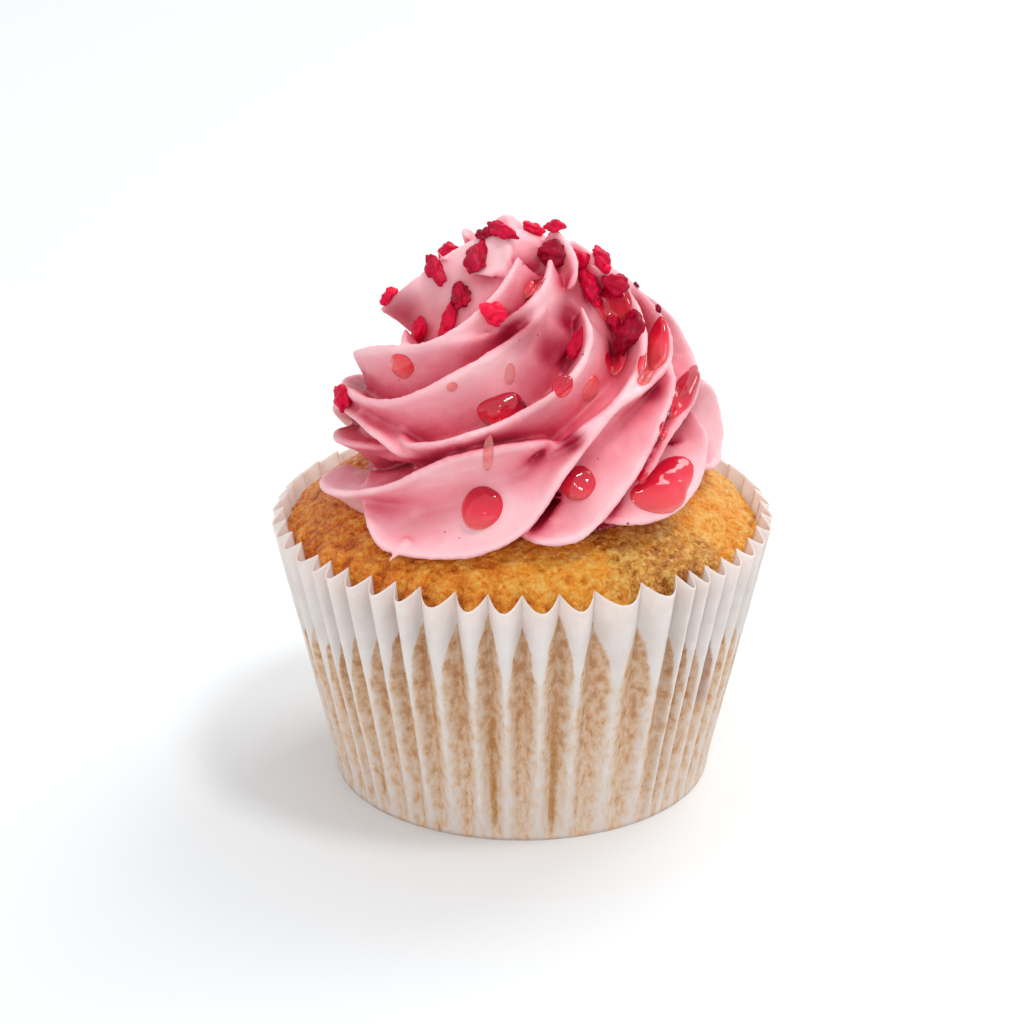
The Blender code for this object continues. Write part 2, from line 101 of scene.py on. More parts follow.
def new_material(name, roughness):
    """A Principled material, with its tree and its shader."""
    made = bpy.data.materials.new(name)
    made.use_nodes = True
    shader = made.node_tree.nodes["Principled BSDF"]
    feed(shader, {"Roughness": roughness})
    return made, made.node_tree, shader


def new_object(name, data):
    made = bpy.data.objects.new(name, data)
    bpy.context.scene.collection.objects.link(made)
    return made


def new_piece(name, mesh, material, *replaced, slot):
    """Puts a finished mesh into the scene as a piece of the cupcake."""
    made = new_object(name, mesh)
    mesh.materials.clear()
    mesh.materials.append(material)
    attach(made, "root")
    if replaced:
        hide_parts(*replaced)


lens = bpy.data.cameras.new("camera")
lens.sensor_width = CAMERA_SENSOR
lens.lens = CAMERA_LENS
lens.clip_start = CAMERA_NEAREST
camera = new_object("camera", lens)
camera.location = CAMERA_PLACE
camera.rotation_euler = (math.radians(90) - CAMERA_PITCH, 0.0, CAMERA_ROLL_ASIDE)
bpy.context.scene.camera = camera
bpy.context.scene.view_settings.view_transform = "Standard"

room = bpy.data.worlds.new("room")
room.use_nodes = True
sky = room.node_tree.nodes["Background"]
feed(sky, {"Color": linear(ROOM_HEX), "Strength": ROOM_STRENGTH})
bpy.context.scene.world = room

for name, place, side, power in LIGHTS:
    panel = bpy.data.lights.new(name, "AREA")
    panel.size = side
    panel.energy = power
    panel.color = linear(LIGHT_HEX)[:3]
    light = new_object(name, panel)
    light.location = place
    light.rotation_euler = (LIGHT_TARGET - Vector(place)).to_track_quat("-Z", "Y").to_euler()

table_material, tree, shader = new_material("matt table", 0.6)
feed(shader, {"Base Color": linear(TABLE_HEX)})
half = TABLE_SIDE / 2
table_mesh = bpy.data.meshes.new("table")
table_mesh.from_pydata([(-half, -half, 0), (half, -half, 0), (half, half, 0), (-half, half, 0)],
                       [], [(0, 1, 2, 3)])
table_mesh.materials.append(table_material)
table = new_object("table", table_mesh)


# Paper case: a 50 mm baking case of white greaseproof paper, pressed into pleats. The sponge's
# fat has soaked into the paper wherever the two touch, which turns it beige and see-through.

CASE_FLOOR_RADIUS = 25.0
CASE_RIM_RADIUS = 33.2
CASE_HEIGHT = 36.2
PAPER = 0.14
PLEAT_DEPTH_LOW = 0.5
PLEAT_DEPTH_RIM = 3.0
FLAT_START = 30.0
FLAT_END = 58.0
FLAT_SHARE = 0.62
FRONT = 270.0
FRONT_FOLDS = (-55.9, -51.1, -45.2, -38.0, -31.3, -24.7, -15.8, -8.0, 0.0,
               8.8, 17.3, 29.4, 39.0, 43.0, 48.0, 54.0, 60.5)
OTHER_FOLDS = 30
FOLD_JITTER = 1.1
RIM_LIFT = 1.4
PLEAT_POINTS = 14
CASE_ROWS = 54
CREASE = 0.07
CREASE_START = 0.1
SHARP_PLEATS = (0.3, 0.95)
FLOOR_RINGS = (1.0, 20.0, 24.0)
ROW_SPACING = 1.15
FLAT_FOOT = 2.0
PLEATED_LENGTH = 2.3
DARK_FOLDS = (-8.0, 8.8)
FOLD_DARKNESS = (0.2, 0.9)

# Where fat soaked in, from the folds outwards: its top, which drops to the sides and rises at
# dark folds, how it widens below that, and its edge, rough and less sharp further down.
TOUCH_TOP = 31.8
TOUCH_DROP = 6.0
TOUCH_DROP_TURNS = (15.0, 55.0)
TOUCH_AT_DARK = 2.5
TOUCH_CLOSES = 6.5
TOUCH_WIDTH = 1.15
TOUCH_CURVE = 1.1
TOUCH_ROUGHNESS = 0.16
TOUCH_BLUR = 0.10
TOUCH_MORE_BLUR = 0.50
BLUR_DEPTHS = (3.0, 16.0)

# Where a pleat is pale or its fold brown, across it and from the top of the soaked part down, and
# the mauve stain at the right: its turn from the front, its width and its heights.
PALE_ACROSS = (0.25, 0.95)
PALE_DEPTHS = (2.0, 12.0)
BROWN_ACROSS = (0.55, 0.05)
BROWN_DEPTHS = (6.0, 20.0)
BROWN_FOOT = 3.0
MAUVE_TURN = 55.0
MAUVE_WIDTH = (9.0, 1.0)
MAUVE_BOTTOM = (13.0, 17.0)
MAUVE_TOP = (31.0, 25.0)
PAPER_MARKS = ("touch", "pale", "brown_and_shade", "mauve", "around")


def polar(azimuth, radius, height):
    """A point at an azimuth in degrees."""
    angle = math.radians(azimuth)
    return Vector((radius * math.cos(angle), radius * math.sin(angle), height))


def from_front(azimuth):
    """Degrees to the right of the front, or below zero to its left."""
    return (azimuth - FRONT + 180.0) % 360.0 - 180.0


def fold_azimuths():
    """All folds, round from the leftmost of the front."""
    draw = random.Random(4)
    folds = [FRONT + turn for turn in FRONT_FOLDS]
    first = folds[-1]
    step = (360.0 + folds[0] - first) / (OTHER_FOLDS + 1)
    for i in range(1, OTHER_FOLDS + 1):
        folds.append(first + i * step + draw.uniform(-FOLD_JITTER, FOLD_JITTER))
    return folds


def case_radius(height):
    return CASE_FLOOR_RADIUS + (CASE_RIM_RADIUS - CASE_FLOOR_RADIUS) * height / CASE_HEIGHT


def pleat_depth(azimuth, height):
    """The pleats are deepest at the front and lie flatter further round."""
    aside = abs(from_front(azimuth))
    flat = min(max((aside - FLAT_START) / (FLAT_END - FLAT_START), 0.0), 1.0)
    depth = PLEAT_DEPTH_LOW + (PLEAT_DEPTH_RIM - PLEAT_DEPTH_LOW) * height / CASE_HEIGHT
    return depth * (1.0 - (1.0 - FLAT_SHARE) * flat)


def smooth_step(low, high, value):
    share = min(max((value - low) / (high - low), 0.0), 1.0)
    return share * share * (3.0 - 2.0 * share)


def smooth_mesh(name, points, faces):
    mesh = bpy.data.meshes.new(name)
    mesh.from_pydata(points, [], faces)
    mesh.shade_smooth()
    return mesh


def ring_mesh(name, rings):
    """A closed mesh through rings of points in millimetres, with its first and last ring filled."""
    points = np.array(rings, dtype=float) * MM
    levels, count, axes = points.shape
    index = np.arange(levels * count).reshape(levels, count)
    here, there = index[:-1], index[1:]
    quads = np.stack([here, np.roll(here, -1, 1), np.roll(there, -1, 1), there], -1)
    faces = quads.reshape(-1, 4).tolist() + [index[0][::-1].tolist(), index[-1].tolist()]
    return smooth_mesh(name, points.reshape(-1, 3).tolist(), faces)


def paint(mesh, name, values):
    """Gives every vertex of the mesh a number that a material can read."""
    attribute = mesh.attributes.new(name, "FLOAT", "POINT")
    attribute.data.foreach_set("value", np.array(values, dtype=np.float32).ravel())


def case_columns():
    """Azimuth, place across its pleat from fold to fold, and darkness of the nearer fold."""
    draw = random.Random(7)
    folds = fold_azimuths()
    dark = [draw.uniform(*FOLD_DARKNESS) for fold in folds]
    for number, turn in enumerate(FRONT_FOLDS):
        if turn in DARK_FOLDS:
            dark[number] = 1.0
    columns = []
    for number, start in enumerate(folds):
        following = (number + 1) % len(folds)
        end = folds[following] + (360.0 if following == 0 else 0.0)
        for k in range(PLEAT_POINTS):
            share = k / PLEAT_POINTS
            nearer = number if share < 0.5 else following
            columns.append((start + (end - start) * share, share, dark[nearer]))
    return columns


def case_row(columns, share, inset):
    """One level of the wall, with the long and short creases of thin paper."""
    row = []
    for azimuth, across, dark in columns:
        sharp = math.sin(math.pi * across)
        soft = 0.5 - 0.5 * math.cos(math.tau * across)
        out = soft + (sharp - soft) * smooth_step(*SHARP_PLEATS, share)
        height = share * CASE_HEIGHT + share * RIM_LIFT * (0.5 - out)
        depth = pleat_depth(azimuth, height) * smooth_step(0.0, FLAT_FOOT, height)
        radius = case_radius(height) - depth * (1.0 - out) - inset
        long = noise.noise(polar(azimuth, 9.0, height * 0.12))
        short = noise.noise(polar(azimuth, 30.0, height * 0.5))
        radius -= CREASE * (1.0 + long + 0.5 * short) * smooth_step(0.0, CREASE_START, share)
        row.append(polar(azimuth, radius, height))
    return row


def paper_marks(columns, rings):
    """How soaked, pale, brown and mauve the paper is at each point, and the point's way around."""
    marks = {name: [] for name in PAPER_MARKS}
    for ring in rings:
        for (azimuth, across, dark), point in zip(columns, ring):
            near = 1.0 - abs(2.0 * across - 1.0)
            aside = from_front(azimuth)
            drop = TOUCH_DROP * smooth_step(*TOUCH_DROP_TURNS, abs(aside))
            below = max(TOUCH_TOP - drop + TOUCH_AT_DARK * dark - point.z, 0.0)
            rough = noise.noise(Vector((azimuth * 0.5, point.z * 0.25, 3.0))) * TOUCH_ROUGHNESS
            width = TOUCH_WIDTH * (1.0 - math.exp(-(below / TOUCH_CLOSES) ** TOUCH_CURVE))
            blur = TOUCH_BLUR + TOUCH_MORE_BLUR * smooth_step(*BLUR_DEPTHS, below)
            touch = smooth_step(blur, -blur, near - width + rough) if below > 0.0 else 0.0
            pale = smooth_step(*PALE_ACROSS, near) * smooth_step(*PALE_DEPTHS, below)
            brown_and_shade = smooth_step(*BROWN_ACROSS, near) * dark * smooth_step(*BROWN_DEPTHS, below)
            brown_and_shade *= smooth_step(0.0, BROWN_FOOT, point.z)
            mauve = smooth_step(*MAUVE_WIDTH, abs(aside - MAUVE_TURN))
            mauve *= smooth_step(*MAUVE_BOTTOM, point.z) * smooth_step(*MAUVE_TOP, point.z)
            around = math.radians(aside + 180.0) * CASE_FLOOR_RADIUS * PLEATED_LENGTH * MM
            for name, value in zip(PAPER_MARKS, (touch, pale, brown_and_shade, mauve, around)):
                marks[name].append(value)
    return marks


def paper_case():
    columns = case_columns()
    shares = [1.0 - (1.0 - i / CASE_ROWS) ** ROW_SPACING for i in range(CASE_ROWS + 1)]
    floor = [[polar(column[0], radius, 0.0) for column in columns] for radius in FLOOR_RINGS]
    inner_floor = [[point + Vector((0, 0, PAPER)) for point in ring] for ring in reversed(floor)]
    outer = [case_row(columns, share, 0.0) for share in shares]
    inner = [case_row(columns, share, PAPER) for share in reversed(shares[1:])]
    rings = floor + outer + inner + inner_floor
    mesh = ring_mesh("paper_case", rings)
    for name, values in paper_marks(columns, rings).items():
        paint(mesh, name, values)
    return mesh


def greaseproof_paper():
    """Pulped and calendered paper: a dull sheen, and a cloudy beige where fat soaked in."""
    made, tree, shader = new_material("greaseproof paper", 0.55)
    touch, pale, brown_and_shade, mauve, around = (
        add(tree, "Attribute", attribute_name=name)["Fac"] for name in PAPER_MARKS)
    where = add(tree, "TexCoord")["Object"]
    high = add(tree, "SeparateXYZ", {"Vector": where})["Z"]
    sheet = add(tree, "CombineXYZ", {"X": around, "Z": high})["Vector"]
    fibre, blotch, grain, cloud = (
        add(tree, "TexNoise", {"Vector": place, "Scale": 1 / (size * MM), "Detail": detail,
                               "Roughness": rough})["Fac"]
        for place, size, detail, rough in ((sheet, 1.7, 6.0, 0.62), (sheet, 2.6, 7.0, 0.72),
                                           (sheet, 0.6, 3.0, 0.5), (where, 5.0, 4.0, 0.6)))
    dry = add(tree, "ValToRGB", {"Fac": cloud}, stops=((0.35, "#e2d4cb"), (0.65, "#eee3dc")))["Color"]
    mottle = add(tree, "MapRange", {"Value": high, "From Min": 18.0 * MM, "From Max": 0.0,
                                    "To Min": -0.12, "To Max": 0.01})["Result"]
    mottle = add(tree, "Math", {0: mottle, 1: fibre}, operation="ADD")[0]
    mottle = add(tree, "Math", {0: pale, 1: 0.17, 2: mottle}, operation="MULTIPLY_ADD")[0]
    soaked = add(tree, "ValToRGB", {"Fac": mottle}, stops=(
        (0.28, "#c08a5e"), (0.41, "#dab08c"), (0.53, "#e2c5ae"), (0.68, "#e2d2c8")))["Color"]
    edge = add(tree, "Math", {0: blotch, 1: 1.5, 2: touch}, operation="MULTIPLY_ADD")[0]
    edge = add(tree, "MapRange", {"Value": edge, "From Min": 1.02, "From Max": 1.65},
               interpolation_type="SMOOTHSTEP")["Result"]
    spots = add(tree, "Math", {0: grain, 1: cloud}, operation="ADD")[0]
    spots = add(tree, "Math", {0: spots, 1: brown_and_shade}, operation="ADD")[0]
    spots = add(tree, "MapRange", {"Value": spots, "From Min": 1.40, "From Max": 2.15})["Result"]
    violet = add(tree, "Math", {0: mauve, 1: fibre}, operation="MULTIPLY")[0]
    violet = add(tree, "Math", {0: violet, 1: touch}, operation="MULTIPLY")[0]
    violet = add(tree, "MapRange", {"Value": violet, "From Min": 0.1, "From Max": 0.6,
                                    "To Max": 0.55})["Result"]
    colour = dry
    for share, over in ((edge, soaked), (spots, linear("#b07420")), (violet, linear("#8d6a6c"))):
        colour = add(tree, "Mix", {"Factor": share, "A": colour, "B": over}, data_type="RGBA")["Result"]
    bump = add(tree, "Bump", {"Height": fibre, "Distance": 0.05 * MM, "Strength": 0.5})["Normal"]
    feed(shader, {"Base Color": colour, "Normal": bump, "Subsurface Weight": 0.5,
                  "Subsurface Radius": (1.0, 0.9, 0.85), "Subsurface Scale": 0.6 * MM})
    return made


new_piece("paper_baking_case", paper_case(), greaseproof_paper(), "paper_case",
          slot="greaseproof_paper")


# Sponge: a golden butter sponge, baked in the case. Its crust is rough with open crumb, painted
# darker on the left as shade, and soaked with fruit syrup at the front right.

SPONGE_BOTTOM = 0.7
SPONGE_EDGE_HEIGHT = 33.3
SPONGE_SWELL = 0.62
SPONGE_CLEARANCE = 0.5
SPONGE_CROWN = ((30.2, 33.3), (29.8, 34.5), (28.6, 36.2), (26.6, 38.2), (23.6, 39.7), (20.0, 40.6),
                (12.0, 42.0), (1.0, 42.2))
SPONGE_COLUMNS = 620
SPONGE_LEVELS = 12
EDGE_BLEND = 26.5
CRUMB_STEP = 0.33
COARSE_STEP = 2.0
CRUMB_REACH = 15.0
CRUMB_FADE = 3.0

# The crumb's lumps and grains, as height and length, and its pores.
CRUMB_LUMPS = ((0.30, 2.6), (0.16, 1.2), (0.20, 0.75))
PORE_LENGTH = 0.9
PORE_START = 0.3
PORE_DEPTH = 0.7

# The turns from the front between which the crust is painted darker as shade, towards the left,
# and syrup has soaked in, with the length and the reach by which their edges waver. Outside the
# swirl more soaks in.
WAVER_LENGTH = 6.0
WAVER_TURN = 14.0
LEFT_SHADE_TURNS = (25.0, -50.0)
SOAK_TURN = 40.0
SOAK_WIDTH = (26.0, 10.0)
SOAK_INSIDE = 0.7
SOAK_RADII = (24.0, 27.0)


def pleat_out(azimuth):
    """How far out an azimuth lies in its pleat, 0 at a fold and 1 between two."""
    folds = fold_azimuths()
    turned = (azimuth - folds[0]) % 360.0 + folds[0]
    ends = folds[1:] + [folds[0] + 360.0]
    for start, end in zip(folds, ends):
        if turned < end:
            return math.sin(math.pi * (turned - start) / (end - start))
    return 0.0


def crown_profile():
    """The crown's outline from its edge inwards, with points a crumb apart where it shows."""
    points = [Vector((r, z)) for r, z in SPONGE_CROWN]
    profile = [points[0]]
    for a, b in zip(points, points[1:]):
        step = CRUMB_STEP if b.x > CRUMB_REACH - 2 * COARSE_STEP else COARSE_STEP
        count = max(int((b - a).length / step), 1)
        for k in range(1, count + 1):
            profile.append(a.lerp(b, k / count))
    smoothed = list(profile)
    for i in range(2, len(profile) - 2):
        smoothed[i] = sum(profile[i - 2:i + 3], Vector((0.0, 0.0))) / 5.0
    return smoothed


def crown_height(radius):
    """The plain height of the crown at a radius."""
    for (r1, z1), (r2, z2) in zip(SPONGE_CROWN, SPONGE_CROWN[1:]):
        if radius >= r2:
            return z1 + (z2 - z1) * min((r1 - radius) / (r1 - r2), 1.0) if radius <= r1 else z1
    return SPONGE_CROWN[-1][1]


def crumb_relief(point):
    """Height of the crumb at a point: soft lumps with small open pores between them."""
    lumps = sum(height * noise.noise(point / length) for height, length in CRUMB_LUMPS)
    pore = noise.noise(point / PORE_LENGTH + Vector((40.0, 0.0, 0.0)))
    return lumps - PORE_DEPTH * max(pore - PORE_START, 0.0)


def azimuth_of(point):
    return math.degrees(math.atan2(point.y, point.x))


def sponge_side(turns):
    """The levels of the side, which swells out into the pleats."""
    outs = [pleat_out(turn) for turn in turns]
    rings = [[polar(turn, 1.0, SPONGE_BOTTOM) for turn in turns]]
    for step in range(SPONGE_LEVELS + 1):
        height = SPONGE_BOTTOM + (SPONGE_EDGE_HEIGHT - SPONGE_BOTTOM) * step / SPONGE_LEVELS
        ring = []
        for turn, out in zip(turns, outs):
            depth = pleat_depth(turn, height)
            at_fold = case_radius(height) - depth - SPONGE_CLEARANCE
            ring.append(polar(turn, at_fold + SPONGE_SWELL * depth * out, height))
        rings.append(ring)
    return rings


def sponge_mesh():
    turns = [360.0 * i / SPONGE_COLUMNS for i in range(SPONGE_COLUMNS)]
    rings = sponge_side(turns)
    edge = [point.xy.length for point in rings[-1]]
    profile = crown_profile()
    reliefs = [[0.0] * SPONGE_COLUMNS for ring in rings]
    for number, (radius, height) in enumerate(profile[1:], 1):
        before = profile[number - 1]
        after = profile[min(number + 1, len(profile) - 1)]
        slope = (after - before).normalized()
        blend = smooth_step(EDGE_BLEND, SPONGE_CROWN[0][0], radius)
        shown = smooth_step(CRUMB_REACH - CRUMB_FADE, CRUMB_REACH, radius)
        ring, relief_row = [], []
        for turn, wide in zip(turns, edge):
            outline = radius + (wide - SPONGE_CROWN[0][0]) * blend
            point = polar(turn, outline, height)
            relief = crumb_relief(point) * shown
            ring.append(point + polar(turn, slope.y, -slope.x) * relief)
            relief_row.append(relief)
        rings.append(ring)
        reliefs.append(relief_row)
    mesh = ring_mesh("sponge", rings)
    brown_and_shade, soak = [], []
    for point in (point for ring in rings for point in ring):
        aside = from_front(azimuth_of(point)) + noise.noise(point / WAVER_LENGTH) * WAVER_TURN
        outside = smooth_step(*SOAK_RADII, point.xy.length)
        wet = smooth_step(*SOAK_WIDTH, abs(aside - SOAK_TURN))
        # Painted shade: darker towards the left, away from the window.
        brown_and_shade.append(smooth_step(*LEFT_SHADE_TURNS, aside))
        soak.append(wet * (SOAK_INSIDE + (1.0 - SOAK_INSIDE) * outside))
    # The crumb's relief also sets its colour, which paints shade: darker pores and lighter lumps.
    for name, values in (("crumb", reliefs), ("brown_and_shade", brown_and_shade), ("soak", soak)):
        paint(mesh, name, values)
    return mesh


def baked_sponge():
    """Open crumb whose fat and sugar glint in points, and which glistens where syrup soaked in."""
    made, tree, shader = new_material("baked sponge", 0.5)
    crumb, brown_and_shade, soak = (
        add(tree, "Attribute", attribute_name=name)["Fac"] for name in ("crumb", "brown_and_shade", "soak"))
    where = add(tree, "TexCoord")["Object"]
    fine, patch = (
        add(tree, "TexNoise", {"Vector": where, "Scale": 1 / (size * MM), "Detail": detail,
                               "Roughness": rough})["Fac"]
        for size, detail, rough in ((0.42, 5.0, 0.75), (4.0, 3.0, 0.5)))
    grains = add(tree, "TexVoronoi", {"Vector": where, "Scale": 1 / (0.7 * MM)})
    chance = add(tree, "SeparateColor", {"Color": grains["Color"]})["Red"]
    tone = -0.26
    # The crumb relief here paints shade: pores darker, lumps lighter.
    for part, share in ((fine, 1.15), (chance, 0.24), (crumb, 0.5), (patch, 0.3)):
        tone = add(tree, "Math", {0: part, 1: share, 2: tone}, operation="MULTIPLY_ADD")[0]
    # The dark ramp is the colour of the shade painted over the left.
    golden, dark, wet = (
        add(tree, "ValToRGB", {"Fac": tone}, stops=stops)["Color"] for stops in (
            ((0.20, "#c05c06"), (0.42, "#f89414"), (0.58, "#ffb030"), (0.80, "#ffd072")),
            ((0.20, "#8a3202"), (0.42, "#da6604"), (0.58, "#f4880c"), (0.80, "#ffb848")),
            ((0.24, "#603006"), (0.42, "#ae6210"), (0.58, "#d88a20"), (0.80, "#f8c868"))))
    brown_and_shade = add(tree, "Math", {0: patch, 1: 0.5, 2: brown_and_shade}, operation="MULTIPLY_ADD")[0]
    brown_and_shade = add(tree, "MapRange", {"Value": brown_and_shade, "From Min": 0.2, "From Max": 1.1})["Result"]
    soak = add(tree, "Math", {0: patch, 1: 1.6, 2: soak}, operation="MULTIPLY_ADD")[0]
    soak = add(tree, "MapRange", {"Value": soak, "From Min": 1.05, "From Max": 1.65})["Result"]
    colour = golden
    for share, over in ((brown_and_shade, dark), (soak, wet)):
        colour = add(tree, "Mix", {"Factor": share, "A": colour, "B": over}, data_type="RGBA")["Result"]
    gloss = add(tree, "MapRange", {"Value": chance, "From Min": 0.60, "From Max": 0.90,
                                   "To Min": 0.50, "To Max": 0.14})["Result"]
    gloss = add(tree, "MapRange", {"Value": soak, "To Min": gloss, "To Max": 0.06})["Result"]
    relief = add(tree, "Math", {0: grains["Distance"], 1: -0.9, 2: fine}, operation="MULTIPLY_ADD")[0]
    bump = add(tree, "Bump", {"Height": relief, "Distance": 0.45 * MM, "Strength": 1.0})["Normal"]
    feed(shader, {"Base Color": colour, "Normal": bump, "Roughness": gloss, "Specular IOR Level": 0.5})
    return made


new_piece("golden_sponge", sponge_mesh(), baked_sponge(), "sponge", slot="baked_sponge")


# Buttercream: whipped pink buttercream, piped through a wide star nozzle in one climbing swirl.
# Each tooth of the nozzle drew a thin curling ridge, and the ridges fold over each other.

SWIRL_FOOT = 40.0
SWIRL_TOP = 77.0
SWIRL_RADIUS = 26.0
SWIRL_FLARE = 1.2
SWIRL_FLARE_HEIGHT = 5.0
SWIRL_ROUNDING = 0.65
CORE_FOOT = 38.2
CORE_SHARE_FOOT = 0.74
CORE_SHARE = 0.66
CORE_WAIST = 52.0
CORE_TOP = 70.0
CORE_LEVELS = 10
CORE_SIDES = 72
RIDGE_DEPTH = 8.0
RIDGE_LIP = 0.52
RIDGE_HOLLOW = 1.9
BROAD_RIDGE = 7.0
BROAD_HOLLOW = 1.2
RIDGE_END = 6.0
RIDGE_TIP = 0.35
BROAD_END = 11.0
BROAD_TIP = 0.1
RIDGE_STEP = 0.9
ROOT_SHARE = 0.55
ROOT_MORE = 1.5
END_REACH = 0.6
RIDGE_SECTION = (0.0, 0.03, 0.08, 0.16, 0.28, 0.42, 0.6, 0.8, 1.0)
SWIRL_VOXEL = 0.33
SWIRL_FACES = 190000
SWIRL_SEAT = 0.12
SOFTEN_STEPS = 3
# How deep the skin is uneven, and over what length.
UNEVEN = ((0.13, 3.1), (0.07, 1.2), (0.03, 0.6))

# Each ridge of the front: its half-width at the root, then its stations from foot to end. A
# station is an azimuth, a height, the reach as a share of the swirl's radius there, and the
# lean in degrees, up being negative.
FRONT_RIDGES = (
    (4.4, ((170, 40.6, 0.88, 10), (188, 41.6, 1.0, 5), (208, 43.4, 1.05, -5), (228, 46.8, 1.03, -15),
           (246, 51.6, 1.01, -20), (262, 53.8, 1.01, -20), (275, 54.2, 0.98, -15), (284, 53.0, 0.86, 0))),
    (5.0, ((205, 45.0, 0.84, 20), (220, 42.8, 1.0, 25), (229, 39.8, 1.02, 35), (242, 39.4, 1.0, 38),
           (258, 40.6, 1.0, 38), (272, 44.0, 1.0, 30), (284, 51.2, 1.0, 12), (301, 57.0, 1.0, -5),
           (322, 59.0, 1.0, -5), (338, 60.4, 1.0, -5), (349, 63.6, 1.0, -10), (344, 69.2, 1.0, -10),
           (332, 74.2, 0.95, -10))),
    (4.4, ((263, 43.4, 0.78, 30), (272, 42.3, 0.97, 35), (281, 41.9, 1.0, 35), (290, 43.2, 1.0, 30),
           (304, 48.5, 1.0, 20), (318, 53.6, 1.0, 15), (334, 58.6, 1.0, 5), (345, 61.4, 0.84, 0))),
    (3.0, ((300, 43.5, 0.78, 20), (310, 48.2, 0.97, 15), (324, 52.4, 0.99, 10), (348, 54.8, 1.0, 0),
           (366, 56.5, 1.0, 0), (370, 61.5, 1.0, -10), (356, 67.0, 0.92, -15))),
    (4.6, ((286, 44.4, 0.78, 30), (298, 43.2, 0.98, 40), (311, 42.6, 1.0, 38), (322, 43.1, 1.0, 35),
           (334, 45.2, 1.0, 20), (342, 50.0, 1.0, 10), (339, 54.6, 0.88, 5))),
    (4.8, ((344, 44.6, 0.86, 20), (357, 42.6, 0.97, 20), (366, 44.6, 1.03, 15), (369, 48.4, 1.05, 5),
           (366, 52.4, 1.03, 0), (354, 55.5, 0.92, 0))),
    (3.8, ((224, 52.8, 0.9, -15), (234, 52.6, 1.0, -15), (250, 54.6, 1.02, -15), (270, 58.0, 1.02, -18),
           (287, 61.4, 1.01, -18), (299, 65.2, 1.0, -18), (301, 68.4, 0.98, -20))),
    (3.2, ((277, 51.4, 0.86, -10), (285, 54.6, 0.98, -20), (303, 57.9, 0.98, -25), (321, 61.4, 0.98, -20),
           (335, 65.4, 0.97, -20), (340, 68.8, 0.95, -20), (328, 71.8, 0.92, -20))),
    (4.6, ((112, 42.4, 0.86, 20), (124, 43.4, 1.0, 25), (138, 47.5, 0.98, 5), (158, 51.4, 0.97, -10),
           (178, 53.6, 0.99, -20), (196, 55.2, 1.02, -22), (222, 56.8, 1.01, -22), (246, 61.8, 1.0, -22),
           (266, 65.8, 0.98, -22), (284, 68.6, 0.86, -20))),
    (4.4, ((86, 42.4, 0.86, 20), (98, 43.6, 1.0, 25), (116, 48.5, 0.98, 5), (138, 53.2, 0.96, -10),
           (162, 56.0, 0.95, -20), (182, 58.2, 1.0, -24), (200, 61.1, 1.03, -24), (220, 63.0, 1.0, -24),
           (244, 65.0, 0.95, -24), (264, 66.4, 0.84, -20))),
    (4.4, ((204, 63.6, 0.88, -20), (218, 63.0, 0.98, -25), (232, 64.6, 1.0, -25), (250, 68.8, 1.0, -25),
           (266, 73.8, 1.02, -20))),
    (3.8, ((252, 65.8, 0.84, -20), (266, 68.2, 0.98, -24), (280, 70.6, 1.0, -24), (293, 73.4, 1.02, -20))),
    (7.5, ((188, 64.4, 1.04, 20), (197, 69.0, 1.03, 10), (204, 73.2, 0.98, 0), (228, 75.6, 0.92, -10),
           (250, 75.2, 0.92, -10), (260, 72.4, 0.86, -10))),
    (4.0, ((300, 69.6, 0.84, 0), (308, 71.4, 0.96, -5), (320, 73.8, 0.98, -5), (332, 75.6, 0.9, -5))),
    (4.6, ((140, 42.4, 0.86, 20), (152, 43.2, 1.0, 20), (168, 47.5, 1.0, 10), (186, 51.6, 1.0, 5),
           (204, 52.8, 1.0, 5), (220, 52.2, 1.0, 5), (232, 50.8, 0.97, 5), (244, 51.0, 0.84, 0))),
    (5.0, ((160, 44.5, 0.84, 0), (176, 46.4, 0.95, 0), (196, 48.2, 0.98, 0), (214, 49.6, 0.9, 0),
           (226, 50.0, 0.8, 0))),
    (2.6, ((84, 70.6, 0.84, 0), (98, 73.4, 0.97, 0), (110, 74.4, 1.0, 0), (122, 72.0, 0.84, 0))),
    (3.8, ((114, 69.2, 0.9, 0), (136, 72.2, 0.97, 0), (160, 73.6, 0.96, 0), (186, 73.8, 0.9, 0))),
)
# Little points pulled out of the cream: azimuth, radius and height of the root and of the tip, and
# the root's radius. Then the width of a point from root to tip.
SPIKES = (
    ((236.5, 25.6, 40.4), (234.8, 28.9, 38.6), 0.9),
    ((204.0, 10.9, 71.8), (203.0, 12.2, 73.7), 0.36),
    ((262.0, 26.0, 54.2), (268.0, 25.6, 53.2), 0.6),
)
SPIKE_WIDTHS = ((0.0, 1.0), (0.35, 0.7), (0.7, 0.42), (1.0, 0.24))
SPIKE_SIDES = 8
BACK_HALF_WIDTH = 5.0
BACK_RIDGE = ((-14, 42.5, 0.86, 20), (0, 41.4, 1.0, 30), (16, 44.0, 1.0, 25), (32, 51.0, 1.0, 10),
              (48, 58.5, 1.0, -10), (64, 65.0, 0.98, -20), (78, 70.0, 0.9, -20))
BACK_FEET = (14.0, 40.0, 66.0)
BACK_JITTER = 3.0


def envelope_radius(height):
    """The radius of the rounded cone that all ridges reach out to."""
    rise = min(max((height - SWIRL_FOOT) / (SWIRL_TOP - SWIRL_FOOT), 0.0), 1.0)
    flare = max(1.0 - (height - SWIRL_FOOT) / SWIRL_FLARE_HEIGHT, 0.0)
    return SWIRL_RADIUS * (1.0 - rise * rise) ** SWIRL_ROUNDING + SWIRL_FLARE * flare * flare


def envelope_normal(azimuth, height):
    height = min(height, SWIRL_TOP - 1.0)
    slope = envelope_radius(height - 0.5) - envelope_radius(height + 0.5)
    return polar(azimuth, 1.0, slope).normalized()


